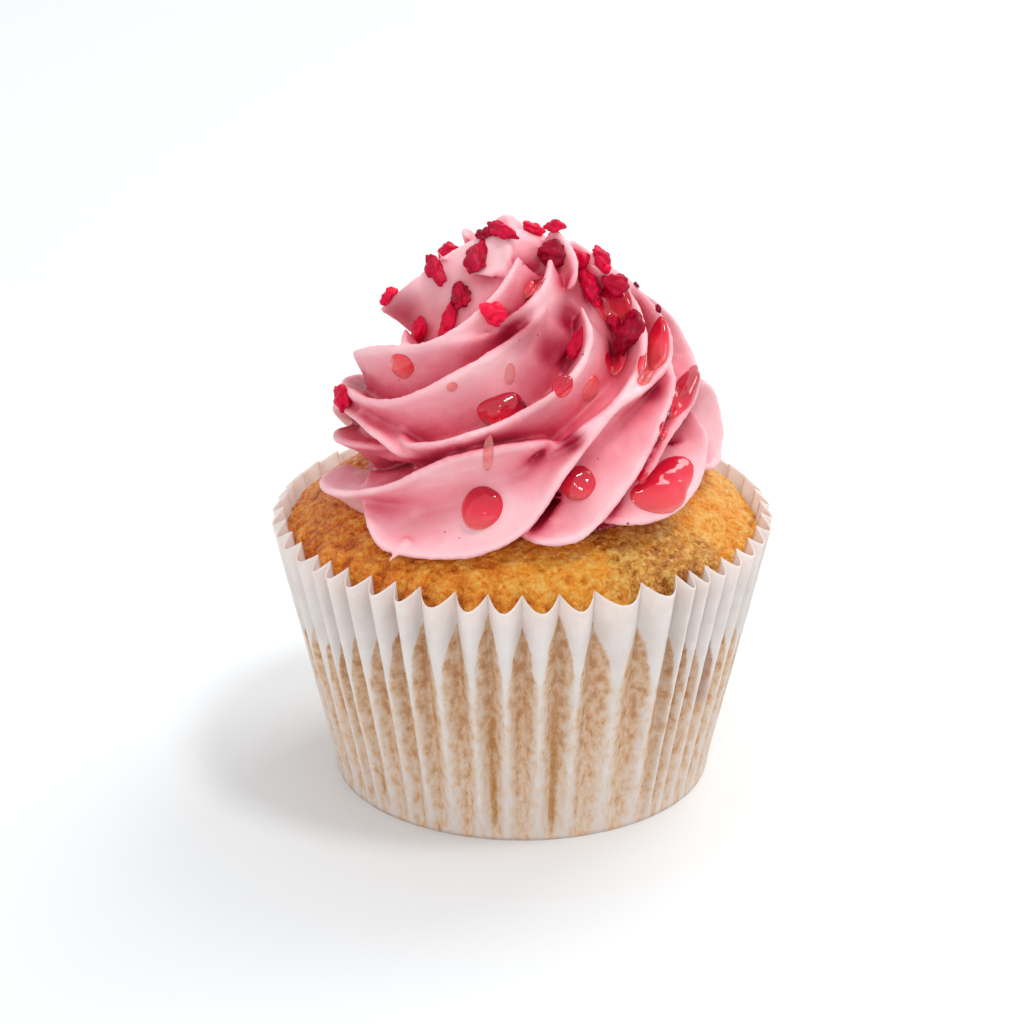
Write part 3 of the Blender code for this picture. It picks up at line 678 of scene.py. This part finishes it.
def smooth_stations(stations, per_span=12):
    """A Catmull-Rom curve through the stations."""
    ends = [stations[0]] + list(stations) + [stations[-1]]
    curve = []
    for a, b, c, d in zip(ends, ends[1:], ends[2:], ends[3:]):
        for k in range(per_span):
            t = k / per_span
            curve.append(tuple(
                0.5 * (2 * q + (r - p) * t + (2 * p - 5 * q + 4 * r - s) * t * t
                       + (3 * q - p - 3 * r + s) * t ** 3)
                for p, q, r, s in zip(a, b, c, d)))
    curve.append(stations[-1])
    return curve


def on_envelope(stations):
    return [polar(azimuth, envelope_radius(height) * reach, height)
            for azimuth, height, reach, lean in stations]


def evenly_spaced(curve, step):
    """The curve's stations at equal distances along it."""
    points = on_envelope(curve)
    along = [0.0]
    for a, b in zip(points, points[1:]):
        along.append(along[-1] + (b - a).length)
    count = max(int(round(along[-1] / step)), 4)
    spaced = []
    k = 0
    for i in range(count + 1):
        distance = along[-1] * i / count
        while k < len(along) - 2 and along[k + 1] < distance:
            k += 1
        t = (distance - along[k]) / max(along[k + 1] - along[k], 1e-6)
        spaced.append(tuple(p + (q - p) * t for p, q in zip(curve[k], curve[k + 1])))
    return spaced, along[-1]


def ridge_rings(half_width, stations):
    """Sections of one ridge: a thin lip at the cone that widens inwards in hollow flanks."""
    hollow, end, tip = RIDGE_HOLLOW, RIDGE_END, RIDGE_TIP
    if half_width > BROAD_RIDGE:
        hollow, end, tip = BROAD_HOLLOW, BROAD_END, BROAD_TIP
    spaced, length = evenly_spaced(smooth_stations(stations), RIDGE_STEP)
    points = on_envelope(spaced)
    rings = []
    for i, (azimuth, height, reach, lean) in enumerate(spaced):
        before = points[max(i - 1, 0)]
        after = points[min(i + 1, len(points) - 1)]
        tangent = (after - before).normalized()
        normal = envelope_normal(azimuth, height)
        normal = (normal - tangent * normal.dot(tangent)).normalized()
        down = tangent.cross(normal)
        tilt = math.radians(lean)
        out = normal * math.cos(tilt) + down * math.sin(tilt)
        side = tangent.cross(out)
        near_end = min(i, len(spaced) - 1 - i) / (len(spaced) - 1) * length
        swell = min(near_end / end, 1.0)
        swell = math.sqrt(1.0 - (1.0 - swell) ** 2) * (1.0 - tip) + tip
        reach_in = min(RIDGE_DEPTH, ROOT_SHARE * points[i].xy.length + ROOT_MORE)
        ring = []
        for sign in (1, -1):
            for d in (RIDGE_SECTION if sign > 0 else reversed(RIDGE_SECTION)):
                width = RIDGE_LIP * min(0.5 + d * 8.0, 1.0) + (half_width - RIDGE_LIP) * d ** hollow
                inward = d * reach_in * (END_REACH + (1.0 - END_REACH) * swell)
                ring.append(points[i] - out * inward + side * (sign * width * swell))
        rings.append(ring)
    return rings


def closed_body(bm, rings):
    """Adds a body through the rings, with both of its ends filled."""
    made = [[bm.verts.new(point) for point in ring] for ring in rings]
    for lower, upper in zip(made, made[1:]):
        for i in range(len(lower)):
            j = (i + 1) % len(lower)
            bm.faces.new((lower[i], lower[j], upper[j], upper[i]))
    bm.faces.new(reversed(made[0]))
    bm.faces.new(made[-1])


def keep_largest_body(mesh):
    """Drops loose scraps and the walls of sealed hollows."""
    bm = bmesh.new()
    bm.from_mesh(mesh)
    left = set(bm.faces)
    bodies = []
    while left:
        body = [left.pop()]
        for face in body:
            for edge in face.edges:
                for other in edge.link_faces:
                    if other in left:
                        left.remove(other)
                        body.append(other)
        bodies.append(body)
    bodies.sort(key=len)
    for body in bodies[:-1]:
        bmesh.ops.delete(bm, geom=body, context="FACES")
    bm.to_mesh(mesh)
    bm.free()


def apply_modifiers(thing):
    graph = bpy.context.evaluated_depsgraph_get()
    mesh = bpy.data.meshes.new_from_object(thing.evaluated_get(graph))
    thing.modifiers.clear()
    thing.data = mesh


def add_spike(bm, start, end, radius):
    """A little point that the nozzle pulled out of the cream as it left."""
    turn = (end - start).to_track_quat("Z", "Y")
    rings = []
    for share, width in SPIKE_WIDTHS:
        middle = start.lerp(end, share)
        rings.append([middle + turn @ polar(360.0 * i / SPIKE_SIDES, radius * width, 0.0)
                      for i in range(SPIKE_SIDES)])
    closed_body(bm, rings)


def swirl_bodies(bm):
    """The core, the ridges of front and back, and the little points."""
    core = []
    for step in range(CORE_LEVELS + 1):
        height = CORE_FOOT + (CORE_TOP - CORE_FOOT) * step / CORE_LEVELS
        low = max(CORE_WAIST - height, 0.0) / (CORE_WAIST - SWIRL_FOOT)
        radius = (CORE_SHARE + (CORE_SHARE_FOOT - CORE_SHARE) * min(low, 1.0)) * envelope_radius(height)
        core.append([polar(360.0 * i / CORE_SIDES, radius, height) for i in range(CORE_SIDES)])
    closed_body(bm, core)
    draw = random.Random(11)
    ridges = list(FRONT_RIDGES)
    for foot in BACK_FEET:
        turn = foot + draw.uniform(-BACK_JITTER, BACK_JITTER)
        ridges.append((BACK_HALF_WIDTH, [(station[0] + turn, *station[1:]) for station in BACK_RIDGE]))
    for half_width, stations in ridges:
        closed_body(bm, ridge_rings(half_width, stations))
    for start, end, radius in SPIKES:
        add_spike(bm, polar(*start), polar(*end), radius)


def swirl_mesh():
    """Core and ridges, fused to one skin and smoothed as whipped cream is."""
    bm = bmesh.new()
    swirl_bodies(bm)
    bmesh.ops.recalc_face_normals(bm, faces=bm.faces)
    bmesh.ops.scale(bm, vec=(MM, MM, MM), verts=bm.verts)
    mesh = bpy.data.meshes.new("swirl")
    bm.to_mesh(mesh)
    bm.free()
    swirl = new_object("swirl", mesh)
    fuse = swirl.modifiers.new("fuse", "REMESH")
    fuse.mode = "VOXEL"
    fuse.voxel_size = SWIRL_VOXEL * MM
    soften = swirl.modifiers.new("soften", "SMOOTH")
    soften.factor = 0.5
    soften.iterations = SOFTEN_STEPS
    apply_modifiers(swirl)
    keep_largest_body(swirl.data)
    thin = swirl.modifiers.new("thin_out", "DECIMATE")
    thin.ratio = min(SWIRL_FACES / (2.0 * len(swirl.data.polygons)), 1.0)
    apply_modifiers(swirl)
    mesh = swirl.data
    bpy.data.objects.remove(swirl)
    moved = []
    for vert in mesh.vertices:
        place = vert.co / MM
        uneven = sum(depth * noise.noise(place / length) for depth, length in UNEVEN)
        moved.append(vert.co + vert.normal * (uneven * MM))
    for vert, place in zip(mesh.vertices, moved):
        seat = (crown_height(place.xy.length / MM) + SWIRL_SEAT) * MM
        vert.co = (place.x, place.y, max(place.z, seat))
    mesh.shade_smooth()
    return mesh


# To see how sheltered a point of the cream is, for the shade painted into its colour, rays leave
# it in a fan. Each turns by the golden angle from the last and rises from the lowest by its part of
# the span.
SHELTER_RAYS = 10
SHELTER_REACH = 9.0
SHELTER_LOWEST = 0.25
SHELTER_SPAN = 0.7
SHELTER_START = 0.15
SHELTER_EASING = 6
GOLDEN_ANGLE = 2.399963


def spread_out(mesh, values):
    """Evens out a number per vertex with those of its neighbours."""
    edges = np.empty(2 * len(mesh.edges), dtype=np.int64)
    mesh.edges.foreach_get("vertices", edges)
    ends = edges.reshape(-1, 2)
    values = np.array(values)
    count = np.bincount(edges, minlength=len(values)) + 1.0
    for step in range(SHELTER_EASING):
        total = values.copy()
        np.add.at(total, ends[:, 0], values[ends[:, 1]])
        np.add.at(total, ends[:, 1], values[ends[:, 0]])
        values = total / count
    return values


def sheltered_shade(mesh, surface):
    """For every vertex, the share of the directions outwards that the swirl itself closes off: the shade
    painted into the cream.
    """
    draw = random.Random(2)
    reach = SHELTER_REACH * MM
    fan = []
    for i in range(SHELTER_RAYS):
        rise = SHELTER_LOWEST + SHELTER_SPAN * (i + 0.5) / SHELTER_RAYS
        flat = math.sqrt(1.0 - rise * rise)
        fan.append(polar(math.degrees(GOLDEN_ANGLE * i), flat, rise))
    values = []
    for vert in mesh.vertices:
        turn = vert.normal.to_track_quat("Z", "Y")
        start = vert.co + vert.normal * (SHELTER_START * MM)
        spin = Matrix.Rotation(draw.uniform(0.0, math.tau), 3, "Z")
        closed = 0.0
        for direction in fan:
            place, normal, index, distance = surface.ray_cast(start, turn @ (spin @ direction), reach)
            if place is not None:
                closed += 1.0 - distance / reach
        values.append(closed / SHELTER_RAYS)
    return spread_out(mesh, values)


IMAGE_SIDE = 1024
FOCAL_PIXELS = CAMERA_LENS / CAMERA_SENSOR * IMAGE_SIDE
SWIRL_MIDDLE_PIXEL = (515.0, 400.0)
SEARCH_STEPS = 60
SEARCH_PACE = 160.0
NORMAL_EASE = 0.6


def pixel_ray(px, py):
    """The camera's place and the direction in which it sees a pixel."""
    ahead = Vector(((px - IMAGE_SIDE / 2) / FOCAL_PIXELS, (IMAGE_SIDE / 2 - py) / FOCAL_PIXELS, -1.0))
    return camera.location.copy(), (camera.rotation_euler.to_matrix() @ ahead).normalized()


def axes_on(level, rise, normal, turn):
    """Length, width and outward directions of a topping whose length is turned from level."""
    angle = math.radians(turn)
    along = level * math.cos(angle) + rise * math.sin(angle)
    along = (along - normal * along.dot(normal)).normalized()
    return along, normal.cross(along), normal


def pixel_seat(px, py, turn):
    """Where a topping lies that the picture shows at a pixel. One past the outline sits on the edge."""
    x, y = px, py
    for step in range(SEARCH_STEPS):
        place, direction = pixel_ray(x, y)
        point, normal, index, distance = swirl_surface.ray_cast(place, direction)
        if point is not None:
            outward = envelope_normal(azimuth_of(point), point.z / MM)
            normal = (normal + outward * NORMAL_EASE).normalized()
            seen = camera.rotation_euler.to_matrix()
            return point, *axes_on(seen.col[0], seen.col[1], normal, turn)
        x += (SWIRL_MIDDLE_PIXEL[0] - px) / SEARCH_PACE
        y += (SWIRL_MIDDLE_PIXEL[1] - py) / SEARCH_PACE
    raise ValueError(f"nothing lies below pixel {px}, {py}")


# Where fruit syrup has soaked into the cream and where its deepest shade is painted in dark red, as
# a pixel of the picture, with a radius in millimetres and a strength.
STAINS_AND_SHADE = (
    (570, 315, 3.4, 1.6), (582, 298, 3.2, 1.3), (652, 392, 2.2, 1.2), (571, 440, 2.0, 1.8),
    (520, 330, 4.2, 1.4), (548, 348, 3.8, 1.4), (536, 374, 5.0, 0.55), (402, 308, 4.2, 1.4),
    (420, 345, 3.6, 0.3), (618, 362, 3.2, 1.2), (612, 300, 4.0, 1.1), (470, 405, 4.4, 0.35),
    (640, 500, 4.2, 0.35), (684, 400, 4.4, 0.7), (655, 350, 3.4, 0.7), (570, 490, 3.4, 0.45),
    (533, 288, 2.2, 0.8), (420, 462, 3.6, 0.2), (540, 410, 4.0, 0.5), (440, 300, 4.0, 0.5),
)
STAIN_REACH = 1.15


def stain_and_shade_at(mesh):
    """For every vertex, how much syrup has soaked into the cream there, and how much shade is painted there
    in dark red.
    """
    places = np.empty(3 * len(mesh.vertices))
    mesh.vertices.foreach_get("co", places)
    places = places.reshape(-1, 3)
    values = np.zeros(len(places))
    for px, py, radius, strength in STAINS_AND_SHADE:
        centre = np.array(pixel_seat(px, py, 0.0)[0])
        away = np.linalg.norm(places - centre, axis=1) / (radius * MM)
        fade = np.clip(STAIN_REACH - away, 0.0, 1.0)
        values = np.maximum(values, strength * fade * fade * (3.0 - 2.0 * fade))
    return values


def whipped_buttercream():
    """Whipped buttercream: soft satin fat that light enters, with light and shade painted in: paler at thin
    lips as if lit, redder in gutters closed off from the room.
    """
    made, tree, shader = new_material("whipped buttercream", 0.42)
    painted_shade, stain_and_shade = (
        add(tree, "Attribute", attribute_name=name)["Fac"] for name in ("painted_shade", "stain_and_shade"))
    where = add(tree, "TexCoord")["Object"]
    cloud, whip = (
        add(tree, "TexNoise", {"Vector": where, "Scale": 1 / (size * MM), "Detail": detail,
                               "Roughness": rough})["Fac"]
        for size, detail, rough in ((6.0, 3.0, 0.5), (1.1, 4.0, 0.6)))
    # Painted light and shade: pale lips as if lit, and deeper red where the cream is closed in.
    tone = add(tree, "Math", {0: cloud, 1: 0.16, 2: painted_shade}, operation="MULTIPLY_ADD")[0]
    pink = add(tree, "ValToRGB", {"Fac": tone}, stops=(
        (0.09, "#f7c4c8"), (0.18, "#f0a3ac"), (0.34, "#e47a88"), (0.54, "#ca3852"),
        (0.78, "#960a2c")))["Color"]
    # Small pits in the cream, dented by the bump and painted darker inside as shade.
    cells = add(tree, "TexVoronoi", {"Vector": where, "Scale": 1 / (1.9 * MM)})
    chance = add(tree, "SeparateColor", {"Color": cells["Color"]})["Red"]
    size = add(tree, "MapRange", {"Value": chance, "From Min": 0.60, "To Max": 0.13})["Result"]
    shaded_pit = add(tree, "Math", {0: size, 1: cells["Distance"]}, operation="SUBTRACT")[0]
    shaded_pit = add(tree, "MapRange", {"Value": shaded_pit, "From Max": 0.035})["Result"]
    # Painted shade: the syrup marks are darker still where the cream is closed in.
    shade_deepening = add(tree, "Math", {0: painted_shade, 1: 1.2, 2: 0.42}, operation="MULTIPLY_ADD")[0]
    stain_and_shade = add(tree, "Math", {0: stain_and_shade, 1: shade_deepening}, operation="MULTIPLY", use_clamp=True)[0]
    colour = pink
    for share, over in ((stain_and_shade, "#a80a34"), (shaded_pit, "#a84a58")):
        colour = add(tree, "Mix", {"Factor": share, "A": colour, "B": linear(over)},
                     data_type="RGBA")["Result"]
    height = add(tree, "Math", {0: shaded_pit, 1: -1.6, 2: whip}, operation="MULTIPLY_ADD")[0]
    bump = add(tree, "Bump", {"Height": height, "Distance": 0.10 * MM, "Strength": 0.6})["Normal"]
    feed(shader, {"Base Color": colour, "Normal": bump, "Subsurface Weight": 0.2,
                  "Subsurface Radius": (1.0, 0.35, 0.30), "Subsurface Scale": 0.8 * MM})
    return made


swirl_skin = swirl_mesh()
swirl_surface = BVHTree.FromPolygons([vert.co for vert in swirl_skin.vertices],
                                     [face.vertices for face in swirl_skin.polygons])
# Painted shade: how closed in each vertex is darkens the cream's colour there.
paint(swirl_skin, "painted_shade", sheltered_shade(swirl_skin, swirl_surface))
paint(swirl_skin, "stain_and_shade", stain_and_shade_at(swirl_skin))
new_piece("buttercream_swirl", swirl_skin, whipped_buttercream(), "buttercream",
          slot="pink_buttercream")


# Dried berry: pieces of freeze-dried berry, 2 to 5 mm long, scattered on the top while the cream
# was soft. Each is a brittle clump of drupelets with a wrinkled skin, crimson to maroon.

# Where each piece lies, as a pixel of the picture, with its length and width in millimetres, the
# turn of its length from level in degrees, and how dark it is from 0, coral, to 1, maroon.
BERRY_PIECES = (
    (484, 228, 2.2, 1.5, 10, 0.95), (503, 233, 5.2, 1.9, -42, 0.55), (448, 252, 2.6, 1.9, 20, 0.45),
    (436, 271, 4.8, 2.1, -58, 0.6), (478, 260, 4.8, 2.4, 97, 0.7), (463, 298, 3.8, 2.6, -60, 0.8),
    (391, 297, 2.3, 2.0, 30, 0.2), (451, 324, 5.1, 2.0, 80, 0.35), (421, 331, 5.2, 1.9, 42, 0.3),
    (492, 313, 3.1, 2.7, -50, 0.0), (339, 396, 3.4, 3.0, 60, 0.45), (531, 231, 2.8, 1.9, 15, 0.25),
    (555, 229, 2.4, 1.9, 40, 0.5), (554, 257, 3.8, 3.2, -30, 0.95), (581, 260, 2.4, 2.0, -50, 0.4),
    (600, 257, 2.8, 2.2, 85, 0.5), (586, 286, 4.7, 2.8, 78, 0.5), (615, 284, 3.4, 2.6, -30, 0.7),
    (613, 322, 3.8, 2.0, 80, 0.65), (631, 335, 5.4, 3.3, 55, 0.9), (579, 345, 3.7, 2.3, 70, 0.5),
    (637, 285, 0.9, 0.6, -45, 1.0), (658, 310, 0.9, 0.6, -50, 1.0), (604, 268, 2.6, 1.5, 60, 0.4),
    (592, 300, 2.2, 1.3, -40, 0.3),
)
BERRY_THICKNESS = 0.68
BERRY_SINK = 0.20
BERRY_FINENESS = 4
# How uneven a clump's body is and how often, and then its drupelets and their wrinkles.
BODY_UNEVEN = ((0.42, 1.1), (0.22, 2.1))
DRUPELET = 1.5
DRUPELET_RISE = 0.45
WRINKLE = 0.10
WRINKLE_PACE = 2.2
BACK_PIECES = 9
BACK_DROPS = 5
BACK_SPAN = (20.0, 165.0)
BACK_HEIGHTS = (47.0, 73.0)
BACK_LENGTHS = (2.2, 4.4)
BACK_WIDTHS = (0.55, 0.8)
BACK_DARKNESS = (0.2, 0.9)
RAY_START = 20.0
GOLDEN = 0.618


def ring_seat(azimuth, height, turn):
    """Where a topping lies on the side that the picture doesn't show."""
    outward = envelope_normal(azimuth, height)
    start = (polar(azimuth, envelope_radius(height), height) + outward * RAY_START) * MM
    point, normal, index, distance = swirl_surface.ray_cast(start, -outward)
    normal = (normal + outward * NORMAL_EASE).normalized()
    level = polar(azimuth + 90.0, 1.0, 0.0)
    return point, *axes_on(level, normal.cross(level), normal, turn)


def back_places(count, seed):
    """Azimuth, height, length, share of it in width, and turn of toppings over the back."""
    draw = random.Random(seed)
    for i in range(count):
        share = ((i + 1) * GOLDEN + seed * 0.1) % 1.0
        azimuth = BACK_SPAN[0] + (BACK_SPAN[1] - BACK_SPAN[0]) * share
        height = BACK_HEIGHTS[0] + (BACK_HEIGHTS[1] - BACK_HEIGHTS[0]) * (i + 0.5) / count
        length = draw.uniform(*BACK_LENGTHS)
        yield azimuth, height, length, draw.uniform(*BACK_WIDTHS), draw.uniform(0.0, 180.0)


def berry_points(number, length, width, seat):
    """One clump: an uneven flattened body, drupelets on it, and wrinkles on those."""
    point, along, across, outward = seat
    thickness = BERRY_THICKNESS * width
    shift = Vector((number * 7.3, number * 3.1, 0.0))
    bm = bmesh.new()
    bmesh.ops.create_icosphere(bm, subdivisions=BERRY_FINENESS, radius=1.0)
    points = []
    for vert in bm.verts:
        ball = vert.co.copy()
        body = Vector((ball.x * length / 2, ball.y * width / 2, ball.z * thickness / 2))
        body *= 1.0 + sum(share * noise.noise(ball * pace + shift) for share, pace in BODY_UNEVEN)
        distances, centres = noise.voronoi(body / DRUPELET + shift)
        drupelet = DRUPELET_RISE * min(distances[1] - distances[0], DRUPELET_RISE) * DRUPELET
        wrinkle = WRINKLE * noise.noise(body * WRINKLE_PACE + shift)
        body += ball * (drupelet + wrinkle - WRINKLE)
        body.z += (0.5 - BERRY_SINK) * thickness
        points.append(point + (along * body.x + across * body.y + outward * body.z) * MM)
    faces = [[vert.index for vert in face.verts] for face in bm.faces]
    bm.free()
    return points, faces


def berry_mesh():
    pieces = []
    for px, py, length, width, turn, dark in BERRY_PIECES:
        pieces.append((length, width, dark, pixel_seat(px, py, turn)))
    draw = random.Random(5)
    for azimuth, height, length, share, turn in back_places(BACK_PIECES, 3):
        seat = ring_seat(azimuth, height, turn)
        pieces.append((length, length * share, draw.uniform(*BACK_DARKNESS), seat))
    points, faces, darkness = [], [], []
    for number, (length, width, dark, seat) in enumerate(pieces):
        piece_points, piece_faces = berry_points(number, length, width, seat)
        faces += [[index + len(points) for index in face] for face in piece_faces]
        points += piece_points
        darkness += [dark] * len(piece_points)
    mesh = smooth_mesh("dried_berry", points, faces)
    paint(mesh, "dark", darkness)
    return mesh


def dried_berry():
    """Freeze-dried berry: skins dried to a matt crimson, nearly black in folds, pale at torn fibres."""
    made, tree, shader = new_material("freeze-dried berry", 0.38)
    where = add(tree, "TexCoord")["Object"]
    dark = add(tree, "Attribute", attribute_name="dark")["Fac"]
    patch, fine = (
        add(tree, "TexNoise", {"Vector": where, "Scale": 1 / (size * MM), "Detail": detail,
                               "Roughness": rough})["Fac"]
        for size, detail, rough in ((1.4, 5.0, 0.6), (0.45, 4.0, 0.5)))
    tone = add(tree, "Math", {0: patch, 1: 1.1, 2: dark}, operation="MULTIPLY_ADD")[0]
    tone = add(tree, "Math", {0: tone, 1: 0.55}, operation="MULTIPLY")[0]
    red = add(tree, "ValToRGB", {"Fac": tone}, stops=(
        (0.12, "#ff5a62"), (0.28, "#ee1440"), (0.48, "#d8003a"), (0.70, "#b0002e"),
        (0.95, "#6a001c")))["Color"]
    bump = add(tree, "Bump", {"Height": fine, "Distance": 0.12 * MM, "Strength": 0.6})["Normal"]
    feed(shader, {"Base Color": red, "Normal": bump, "Specular IOR Level": 0.15})
    return made


new_piece("dried_berry_pieces", berry_mesh(), dried_berry(), "buttercream", slot="pink_buttercream")


# Syrup: drops, pools and runs of cooked fruit syrup, spooned over the cream. It is clear and
# glossy, coral where it lies thin and deep red where it stands thick. Light is painted in too:
# each drop is lighter coral towards its foot, where light would glow through it, and redder above.

# A drop's pixel in the picture, its length and width there in millimetres, the turn of its length
# from level in degrees, its rise in millimetres and how deep its red is from 0 to 1.
SYRUP_DROPS = (
    (402, 366, 3.5, 2.6, 95, 0.9, 0.32), (502, 410, 6.2, 4.2, 14, 1.5, 0.75),
    (482, 508, 5.6, 5.2, 40, 1.9, 0.65), (578, 483, 4.6, 4.2, 70, 1.2, 0.75),
    (564, 386, 3.0, 2.4, 60, 0.7, 0.7), (591, 388, 3.3, 2.3, 70, 0.7, 0.2),
    (645, 378, 2.9, 2.0, 70, 0.8, 0.4), (657, 350, 6.8, 2.9, 84, 1.2, 0.55),
    (683, 393, 7.6, 3.4, 62, 1.4, 0.8), (532, 290, 2.8, 2.1, 60, 0.7, 0.6),
    (619, 362, 4.0, 2.2, 65, 0.8, 0.8), (614, 303, 5.4, 4.4, 80, 0.9, 0.8),
    (452, 387, 1.6, 1.4, 60, 0.3, 0.1), (510, 374, 2.9, 1.4, 88, 0.35, 0.07),
    (488, 456, 4.2, 1.4, 86, 0.4, 0.12), (662, 435, 1.6, 1.3, 80, 0.5, 0.6),
    (643, 477, 2.0, 1.3, 80, 0.5, 0.6),
)
# The large drop at the right ran into its neighbours: the reach of its edge at each direction.
LARGE_DROP = (662, 487, 8.0, 6.0, 0, 1.5, 0.5)
LARGE_DROP_EDGE = ((0, 2.9), (30, 4.2), (47, 5.3), (71, 4.4), (93, 2.7), (135, 2.2), (170, 2.8), (188, 4.1),
                   (215, 4.0), (241, 3.8), (264, 3.8), (300, 3.1), (341, 2.5))
EDGE_SOFTENING = (-14.0, -7.0, 0.0, 7.0, 14.0)
MOST_SLANT = 2.2
DROP_RINGS = 12
DROP_SIDES = 40
BACK_DROP_RISE = 0.9
BACK_DROP_DEEP = 0.5

# A drop's foot is sought from a lift above the cream, and falls with it by a part of the drop's
# rise and a little more. Its dome is rippled and its edge wavers, both by its length.
DROP_LIFT = 2.5
MISSED_FALL = 0.4
FALL_SHARE = 0.5
FALL_MORE = 0.2
DROP_WAVER = 0.02
DROP_RIPPLE = 0.025
DROP_ROUNDING = 0.62
DROP_SINK = 0.06
DROP_FLOOR = 0.35
# The red at a drop's foot and its rise towards the top are painted light: a glow at the foot.
DEEP_AT_GLOWING_FOOT = 0.2
PAINTED_DEEPENING_UPWARDS = 1.4
WELD = 0.01


def seen_seat(px, py, turn):
    """A seat whose length and width directions look as long in the picture as they are given."""
    point, along, across, outward = pixel_seat(px, py, turn)
    sight = (point - camera.location).normalized()
    facing = min(sight.dot(outward), -0.2)
    seen = camera.rotation_euler.to_matrix()
    angle = math.radians(turn)
    axes = []
    for level, rise in ((math.cos(angle), math.sin(angle)), (-math.sin(angle), math.cos(angle))):
        flat = seen.col[0] * level + seen.col[1] * rise
        slant = flat - sight * (flat.dot(outward) / facing)
        axes.append(slant * min(1.0, MOST_SLANT / slant.length))
    return point, *axes, outward


def edge_reach(turn, edge):
    """How far an uneven drop reaches in a direction, with the corners of its outline eased."""
    turns = [degrees for degrees, reach in edge]
    reaches = [reach for degrees, reach in edge]
    around = [math.degrees(turn) + step for step in EDGE_SOFTENING]
    return float(np.mean(np.interp(around, turns, reaches, period=360.0)))


def drop_points(number, length, width, rise, seat, edge=None):
    """One drop: a dome whose foot follows the cream below it, closed by a floor inside the cream."""
    point, along, across, outward = seat
    shift = Vector((number * 5.7, 0.0, 2.0))
    points = []
    lift = DROP_LIFT * MM
    for ring in range(DROP_RINGS + 1):
        share = math.sin(math.pi / 2 * ring / DROP_RINGS)
        for side in range(DROP_SIDES):
            turn = math.tau * side / DROP_SIDES
            round_it = Vector((math.cos(turn), math.sin(turn), 0.0))
            waver = 1.0 + DROP_WAVER * length * noise.noise(round_it * 1.3 + shift)
            reach = [edge_reach(turn, edge)] * 2 if edge else (length / 2 * waver, width / 2 * waver)
            x = math.cos(turn) * share * reach[0]
            y = math.sin(turn) * share * reach[1]
            above = point + (along * x + across * y) * MM + outward * lift
            ground, normal, index, distance = swirl_surface.ray_cast(above, -outward, 2.0 * lift)
            level = lift - distance if ground is not None else -MISSED_FALL * lift
            level = max(level, -(FALL_SHARE * rise + FALL_MORE) * MM)
            ripple = 1.0 + DROP_RIPPLE * length * noise.noise(Vector((x, y, 9.0)) / 1.2 + shift)
            dome = rise * ripple * max(1.0 - share * share, 0.0) ** DROP_ROUNDING
            points.append(above + outward * (level - lift + (dome - DROP_SINK) * MM))
    for side in range(DROP_SIDES):
        points.append(points[DROP_RINGS * DROP_SIDES + side] - outward * (DROP_FLOOR * MM))
    return points


def drop_faces():
    """Faces of one drop: rings from its top to its foot, then its floor."""
    index = np.arange((DROP_RINGS + 2) * DROP_SIDES).reshape(-1, DROP_SIDES)
    faces = []
    for here, there in zip(index, index[1:]):
        for i in range(DROP_SIDES):
            j = (i + 1) % DROP_SIDES
            faces.append([int(here[i]), int(there[i]), int(there[j]), int(here[j])])
    faces.append([int(i) for i in index[-1][::-1]])
    return faces


def syrup_mesh():
    drops = []
    for px, py, length, width, turn, rise, deep in SYRUP_DROPS:
        drops.append((length, width, rise, deep, seen_seat(px, py, turn), None))
    px, py, length, width, turn, rise, deep = LARGE_DROP
    drops.append((length, width, rise, deep, seen_seat(px, py, turn), LARGE_DROP_EDGE))
    for azimuth, height, length, share, turn in back_places(BACK_DROPS, 8):
        drops.append((length, length * share, BACK_DROP_RISE, BACK_DROP_DEEP,
                      ring_seat(azimuth, height, turn), None))
    points, faces, depths_with_glow = [], [], []
    for number, (length, width, rise, deep, seat, edge) in enumerate(drops):
        faces += [[index + len(points) for index in face] for face in drop_faces()]
        made = drop_points(number, length, width, rise, seat, edge)
        points += made
        # Painted light: lighter towards the drop's foot, deeper red towards its top.
        low = min(point.z for point in made)
        high = max(point.z for point in made)
        shares = [(point.z - low) / (high - low) for point in made]
        depths_with_glow += [deep * (DEEP_AT_GLOWING_FOOT + PAINTED_DEEPENING_UPWARDS * share) for share in shares]
    mesh = bpy.data.meshes.new("syrup")
    mesh.from_pydata(points, [], faces)
    bm = bmesh.new()
    bm.from_mesh(mesh)
    glow_depth_layer = bm.verts.layers.float.new("deep")
    for vert, deep in zip(bm.verts, depths_with_glow):
        vert[glow_depth_layer] = deep
    bmesh.ops.remove_doubles(bm, verts=bm.verts, dist=WELD * MM)
    bmesh.ops.recalc_face_normals(bm, faces=bm.faces)
    bm.to_mesh(mesh)
    bm.free()
    mesh.shade_smooth()
    return mesh


def fruit_syrup():
    """Fruit syrup boiled until it sets: a clear red gel with a wet skin, so its glints are sharp."""
    made, tree, shader = new_material("fruit syrup", 0.04)
    deep = add(tree, "Attribute", attribute_name="deep")["Fac"]
    # Lighter colours stand for thin syrup and for the glow painted at a drop's foot.
    red = add(tree, "ValToRGB", {"Fac": deep}, stops=(
        (0.0, "#ffdcda"), (0.12, "#ffa8a4"), (0.3, "#ff5a5e"), (0.6, "#f41c40"),
        (1.0, "#cc002e")))["Color"]
    clear = add(tree, "MapRange", {"Value": deep, "From Min": 0.0, "From Max": 0.5,
                                   "To Min": 0.9, "To Max": 0.3})["Result"]
    feed(shader, {"Base Color": red, "Transmission Weight": clear, "IOR": 1.04,
                  "Coat Weight": 1.0, "Coat Roughness": 0.02, "Coat IOR": 1.6})
    return made


new_piece("fruit_syrup_drops", syrup_mesh(), fruit_syrup(), "buttercream", slot="pink_buttercream")
